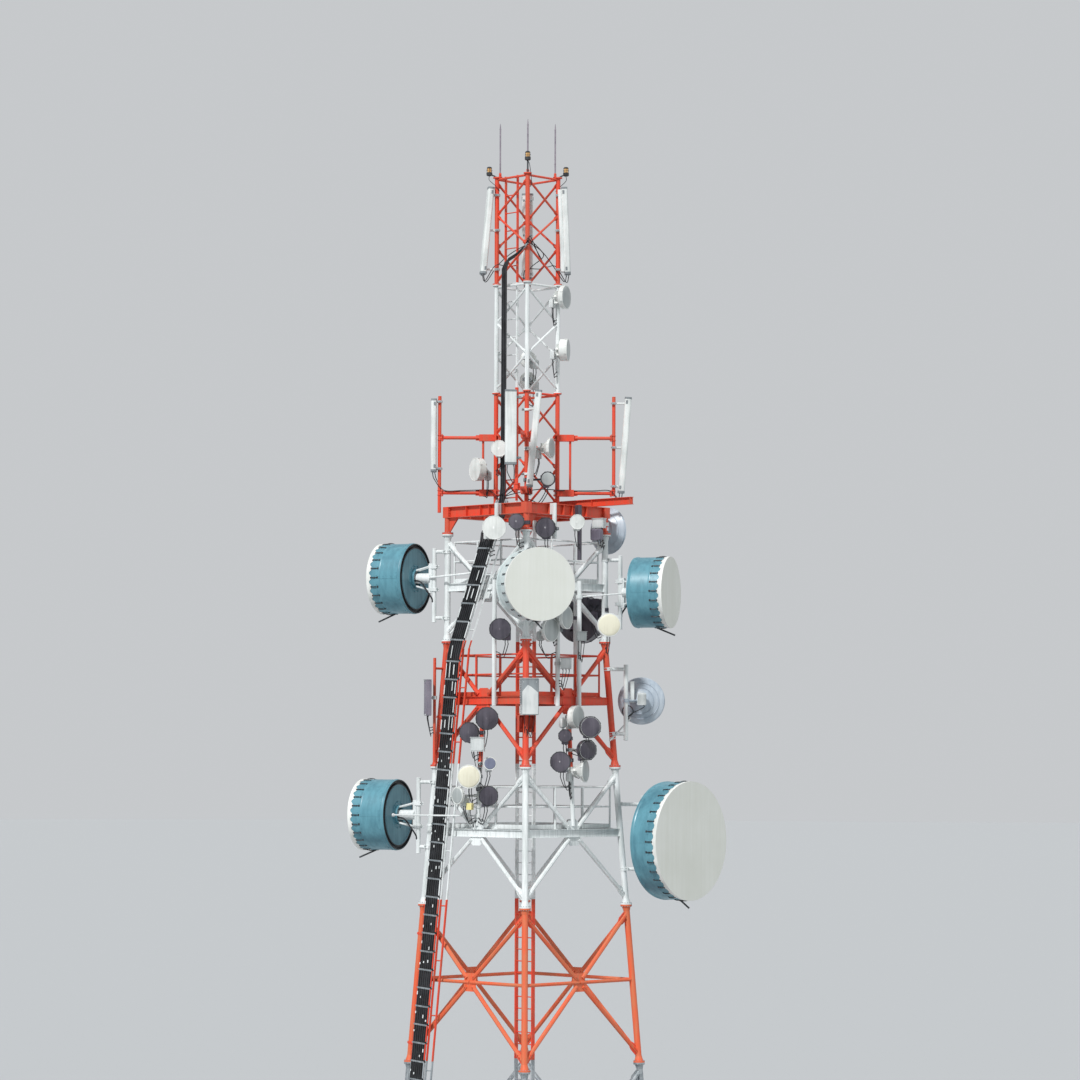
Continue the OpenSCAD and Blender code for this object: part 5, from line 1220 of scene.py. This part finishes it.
rims, radios, leads, glands, covers = ([], []), ([], []), [], [], {}
for index, (name, z, lift, centre, bearing, r, deep) in enumerate(small):
    dark = index in (4, 5, 29) or 16 <= index < 26
    place = boresight(centre, z, bearing)
    parts = rims[dark]
    parts.append(turned([(r + 0.005, -0.026), (r + 0.011, -0.02), (r + 0.011, -0.004),
                         (r + 0.004, 0.004), (r - 0.006, 0.004), (r - 0.012, -0.001),
                         (r + 0.005, -0.026)], place, 40))
    # A thin cover is clipped over the face; some dishes have a sleeve over the shroud too
    if index in tones:
        dome = [((r - 0.018) * math.cos(a), 0.004 + r / 12 * math.sin(a))
                for a in (math.pi / 12 * k for k in range(7))]
        covers.setdefault(tones[index], []).append(turned([(r - 0.016, 0.0005), *dome], place, 40))
    if index in shrouds:
        low, shell = shrouds[index]
        sleeve = [(r + 0.003, -0.025), (r + 0.003, -low), (0.074, 0.058 - deep),
                  (0.074, -0.003 - deep), (0.03, -0.003 - deep)]
        covers.setdefault(shell, []).append(turned(sleeve, place, 40))
    for k in range(8):
        spot = side_spot(place, r + 0.011, 45 * k + 22.5, -0.03)
        parts.append(boxed((0.004, 0, 0.008), (0.008, 0.032, 0.05), spot))
        parts.append(boxed((-0.002, 0, -0.03), (0.012, 0.02, 0.03), spot))
    rib = [(0.05, -deep + 0.012), (r * 0.6, -deep * 0.86 - 0.02), (r * 0.6, -deep * 0.6),
           (0.06, -deep * 0.6)]
    parts += [plate(rib, 0.006, place @ spin(60 * k + 30) @ spin(90, "X")) for k in range(6)]
    # The radio hangs on the back of the dish, below its arm and clear of its carrier
    axis, radius = carriers[name]
    w, h, d = (0.2, 0.22, 0.08) if r > 0.2 else (0.15, 0.16, 0.06)
    spot = Vector((h / 2 + 0.045, 0, -deep - d / 2 - 0.012))
    near = axis(z) - place @ spot
    near.z = 0.0
    if near.length < radius + 0.16:
        spot.y = 0.17 if near.dot(place.to_3x3() @ Vector((0, 1, 0))) < 0 else -0.17
    box = place @ Matrix.Translation(spot)
    radios[dark].extend(radio(box @ spin(180, "X"), w, h, d))
    radios[dark].append(boxed((h / 2 + 0.02, 0, -deep - 0.02), (h, 0.05, 0.04), place))
    if r > 0.5:
        continue
    for side in (0, 1):
        start = box @ Vector((h / 2 - 0.004, 0.07 * side - 0.035, 0))
        shape, point, out = gland(name, z - h - 0.34 - 0.1 * side, start - axis(z))
        glands += [shape, turned([(0.012, 0.0), (0.012, 0.02), (0.008, 0.035)],
                                 stand(start, (0, 0, -1)), 8)]
        down = start - up(0.14)
        knots = [start, start - up(0.07), down, (down + point) / 2 - up(0.16) + out * 0.05,
                 point + out * 0.1 - up(0.03), point + out * 0.02]
        leads.append(swept(bent(knots, 5), 0.011, 6))
for shell, parts in covers.items():
    build("dish_covers_" + shell[0].name.split("_moulded")[0], parts, shell)
for name, rim, box, finish, coat in (("pale", rims[0], radios[0], pale, radio_coat),
                                     ("dark", rims[1], radios[1], casting, dark_radio)):
    build(name + "_dish_rims", rim, finish)
    build(name + "_dish_radios", box, coat)
build("dish_leads", leads, sheath)
build("cable_glands", glands, casting)


# Ring clamps: each small dish is held by a clamp in two halves, drawn together on the
# tube by two bolts through its ears.

ears = []
for name, z, lift, centre, *_ in small:
    axis, radius = carriers[name]
    if name in ("right_leg", "near_leg"):
        continue
    place = stand(axis(z + lift), (0, 0, 1), level(Vector((*centre, 0)) - axis(0)))
    for y in (-radius - 0.042, radius + 0.042):
        ears += [boxed((x, y, 0), (0.012, 0.045, 0.08), place) for x in (-0.014, 0.014)]
        ears += pinned(place, 0.02002, y)
build("dish_clamp_ears", ears, zinc)


# Open dishes: a spun reflector with a rolled rim, its feed held by three thin struts. On
# the right one's back sit a bracket, a pale radio and a coil of spare black cable.

reflectors, struts = [], []
right_dish = boresight((2.98, 0.55), 18.5, 83)
for place in (right_dish, boresight((2.12, 0.75), z_seat + 0.15, 47)):
    reflectors.append(ring_bar(place @ shift(0, 0, 0.01), 0.597, 0.013, 8, 64))
    for radius in (0.33, 0.46):
        behind = place @ shift(0, 0, -0.219 + (radius - 0.327) * 0.675)
        reflectors.append(ring_bar(behind, radius + 0.006, 0.008, 6, 48))
    struts += [swept([spoke(0.57, 120 * k + 60, 0.02), spoke(0.08, 120 * k + 60, -0.01)],
                     0.008, 8, place) for k in range(3)]
    feed = [(0.045, -0.3), (0.052, -0.29), (0.052, -0.27), (0.045, -0.26)]
    struts.append(turned(feed, place, 20))
place = right_dish
bracket = [boxed((-0.22, 0.2, -0.43), (0.55, 0.11, 0.05), place),
           boxed((-0.24, 0.2, -0.34), (0.06, 0.1, 0.16), place)]
struts += radio(place @ shift(-0.04, -0.06, -0.5) @ spin(180, "X"), 0.21, 0.3, 0.14)
low = leg_at(0, 17.55) - Vector((0, 0.11, 0))
high = place @ Vector((0.45, 0.27, -0.07))
bracket.append(swept([high, low, low + (low - high) * 0.16], 0.022, 10))
bracket.append(ring_bar(stand(leg_at(0, 17.52), (-leg_lean, 0, 1)), leg_r + 0.001, 0.012, 8, 32))
bracket += u_bolt(low, high - low, (0, 1, 0), 0.024)
# A side strut steadies the upper left drum from a diagonal of the near left face
far, near = drums[0][1] @ Vector((0.02, 0.06, 0.53)), Vector((-1.44, -0.62, 21.72))
bracket.append(swept([far, near, near + (near - far) * 0.05], 0.028, 10))
bracket += u_bolt(near, near - far, (0.3, 0.3, 0), 0.03)
build("steadying_struts_and_bracket", bracket, white)
rim = place @ shift(0.27, 0.3, -0.5)
turns = [rim @ spoke(0.14, 22.5 * k, -0.022 * k / 16) for k in range(5 * 16 + 1)]
port = place @ Vector((0.105, -0.1, -0.5))
knots = [port, port - up(0.07), turns[0] + (port - turns[0]) * 0.3, turns[0]]
coil = [swept([*bent(knots, 5), *turns[1:]], 0.011, 6)]
shape, point, out = gland("right_pole", 18.06,
                          rim.to_translation() - carriers["right_pole"][0](18.06))
knots = [turns[-1], turns[-1] - Vector((0.02, 0, 0.1)), point + out * 0.12, point + out * 0.02]
coil.append(swept(bent(knots, 5), 0.011, 6))
ties = [ring_bar(rim @ spin(a) @ shift(0.14, 0, -0.055) @ spin(90, "X"), 0.071, 0.004)
        for a in (30, 150, 270)]
build("open_dish_rims", reflectors, reflector_metal_and_shade)
build("open_dish_struts_and_radio", struts, radio_coat)
build("spare_cable_coil", coil, sheath)
build("coil_ties", [shape, *ties], casting)


# Radio units: the larger cases on poles are dressed with a hood or fins, and cables
# from the plugs under them that go back into the tube that carries them.

junction_box = (-1.38, -1.42), z_red_high - 1.0, -120
leg_case = (0.09, -2.48), z_white_high - 1.45, -80
side_case = (-2.5, -0.33), z_white_high - 1.45, 190
units = [("left_mid", ((-1.2, -1.83), z_red_high + 0.56, -100), (0.15, 0.34, 0.34)),
         ("left_mid", junction_box, (0.1, 0.11, 0.13)),
         ("right_outer", ((1.4, -1.26), z_white_high + 0.1, -80), (0.13, 0.25, 0.22)),
         ("near_outer", ((1.01, -1.64), z_white_high - 0.6, -95), (0.22, 0.26, 0.26)),
         ("near_leg", leg_case, (0.2, 0.43, 0.9)), ("side_pole", side_case, (0.13, 0.28, 0.9)),
         ("right_leg", ((1.86, -0.42), z_seat + 0.27, -120), (0.16, 0.32, 0.23))]
hoods, unit_leads, unit_glands = [], [], []
# The case on the side pole wears dark sun shields
shields = [boxed((0, y, 0), (0.88, 0.006, 0.15), boresight(*side_case)) for y in (-0.153, 0.153)]
for name, spot, (deep, wide, high) in units:
    cases = shields if name == "side_pole" else hoods
    place = boresight(*spot)
    cases += [boxed((0, 0, deep / 2 + 0.004), (high * 0.9, wide * 0.88, 0.01), place),
              boxed((-high / 2 - 0.006, 0, 0.008), (0.014, wide + 0.03, deep + 0.04), place),
              boxed((high / 2 + 0.004, 0, 0), (0.01, wide + 0.014, deep + 0.014), place)]
    for side in (-1, 1):
        cases += [boxed((-high / 2 + 0.03 + 0.06 * k, side * (wide / 2 + 0.008), 0),
                        (0.008, 0.018, deep * 0.86), place)
                  for k in range(max(2, int(high / 0.06)))]
        spots = [(x, side * wide * 0.38, deep / 2 + 0.009) for x in (-high * 0.4, high * 0.4)]
        cases += fasten(place, spots, width=0.018, height=0.008)
    axis, radius = carriers[name]
    for k, across in enumerate((-0.3, 0.0, 0.3) if wide > 0.2 else (0.0,)):
        start = place @ Vector((high / 2 + 0.006, across * wide, 0))
        shape, point, out = gland(name, spot[1] - high / 2 - 0.3 - 0.07 * k, start - axis(spot[1]))
        unit_glands += [turned([(0.014, 0.0), (0.014, 0.022), (0.009, 0.04)],
                               stand(start, (0, 0, -1)), 8), shape]
        knots = [start, start - up(0.1), (start + point) / 2 - up(0.3),
                 point + out * 0.09 - up(0.03), point + out * 0.02]
        unit_leads.append(swept(bent(knots), 0.009, 6))
build("radio_unit_hoods", hoods, radio_coat)
build("side_pole_sun_shields", shields, dark_radio)
yellow = moulded("yellow_moulded_junction_box", "radio_case", "EFE4A2", "DACE8C", 0.45)
cover = plate(rounded(0.17, 0.15, 0.02), 0.11, boresight(*junction_box) @ shift(0, 0, 0.03))
build("junction_box_cover", [cover], yellow)

# The case on the near leg has a darker grey top, painted shade of the recess under its
# hood, and a paler door with a gabled edge, and it stands on a folded red bracket that
# is clamped round the leg
place = boresight(*leg_case)
front = [(-0.448, -0.214), (0.448, -0.214), (0.448, 0.214), (-0.448, 0.214)]
build("leg_case_panel", [plate(front, 0.006, place @ shift(0, 0, 0.107)),
                         *(boxed((-0.13, y, 0), (0.62, 0.004, 0.19), place)
                           for y in (-0.2215, 0.2215))], (cap_plastic[0], "radio_case"))
door = [(0.44, -0.2), (0.44, 0.2), (-0.1, 0.2), (-0.24, 0.03), (-0.29, -0.06), (-0.12, -0.2)]
build("leg_case_door", [plate(door, 0.016, place @ shift(0, 0, 0.117))], radio_coat)
foot = stand(leg_at(3, z_white_high - 2.13), (0, 0, 1), heading(-80))
bracket = [boxed(centre, size, foot) for side in (-1, 1) for centre, size in (
    ((0.09, side * 0.205, 0), (0.26, 0.012, 0.42)), ((-0.035, side * 0.13, 0), (0.012, 0.15, 0.42)),
    ((0.0, side * 0.12, -0.14), (0.1, 0.06, 0.05)), ((0.0, side * 0.12, 0.14), (0.1, 0.06, 0.05)))]
bracket += fasten(foot, [(0.05, y, dz) for y in (-0.13, 0.13) for dz in (-0.14, 0.14)],
                  (1, 0, 0), 0.026, 0.014)
bracket += [boxed((0.09, 0, 0.216), (0.26, 0.42, 0.012), foot),
            boxed((-0.035, 0, 0), (0.012, 0.4, 0.42), foot),
            boxed((-0.01, 0, -0.2), (0.04, 0.4, 0.02), foot)]
build("leg_case_bracket", bracket, red)

# A second case hangs under the one at the top of the right leg, on the same two rails
place = boresight((1.8, -0.47), z_seat - 0.02, -120)
rails = [boxed((-0.12, y, -0.09), (0.5, 0.03, 0.012), place) for y in (-0.08, 0.08)]
build("stacked_radio", radio(place, 0.28, 0.27, 0.16, 8) + rails, dark_radio)
build("radio_unit_leads", unit_leads, sheath)
build("radio_unit_glands", unit_glands, casting)
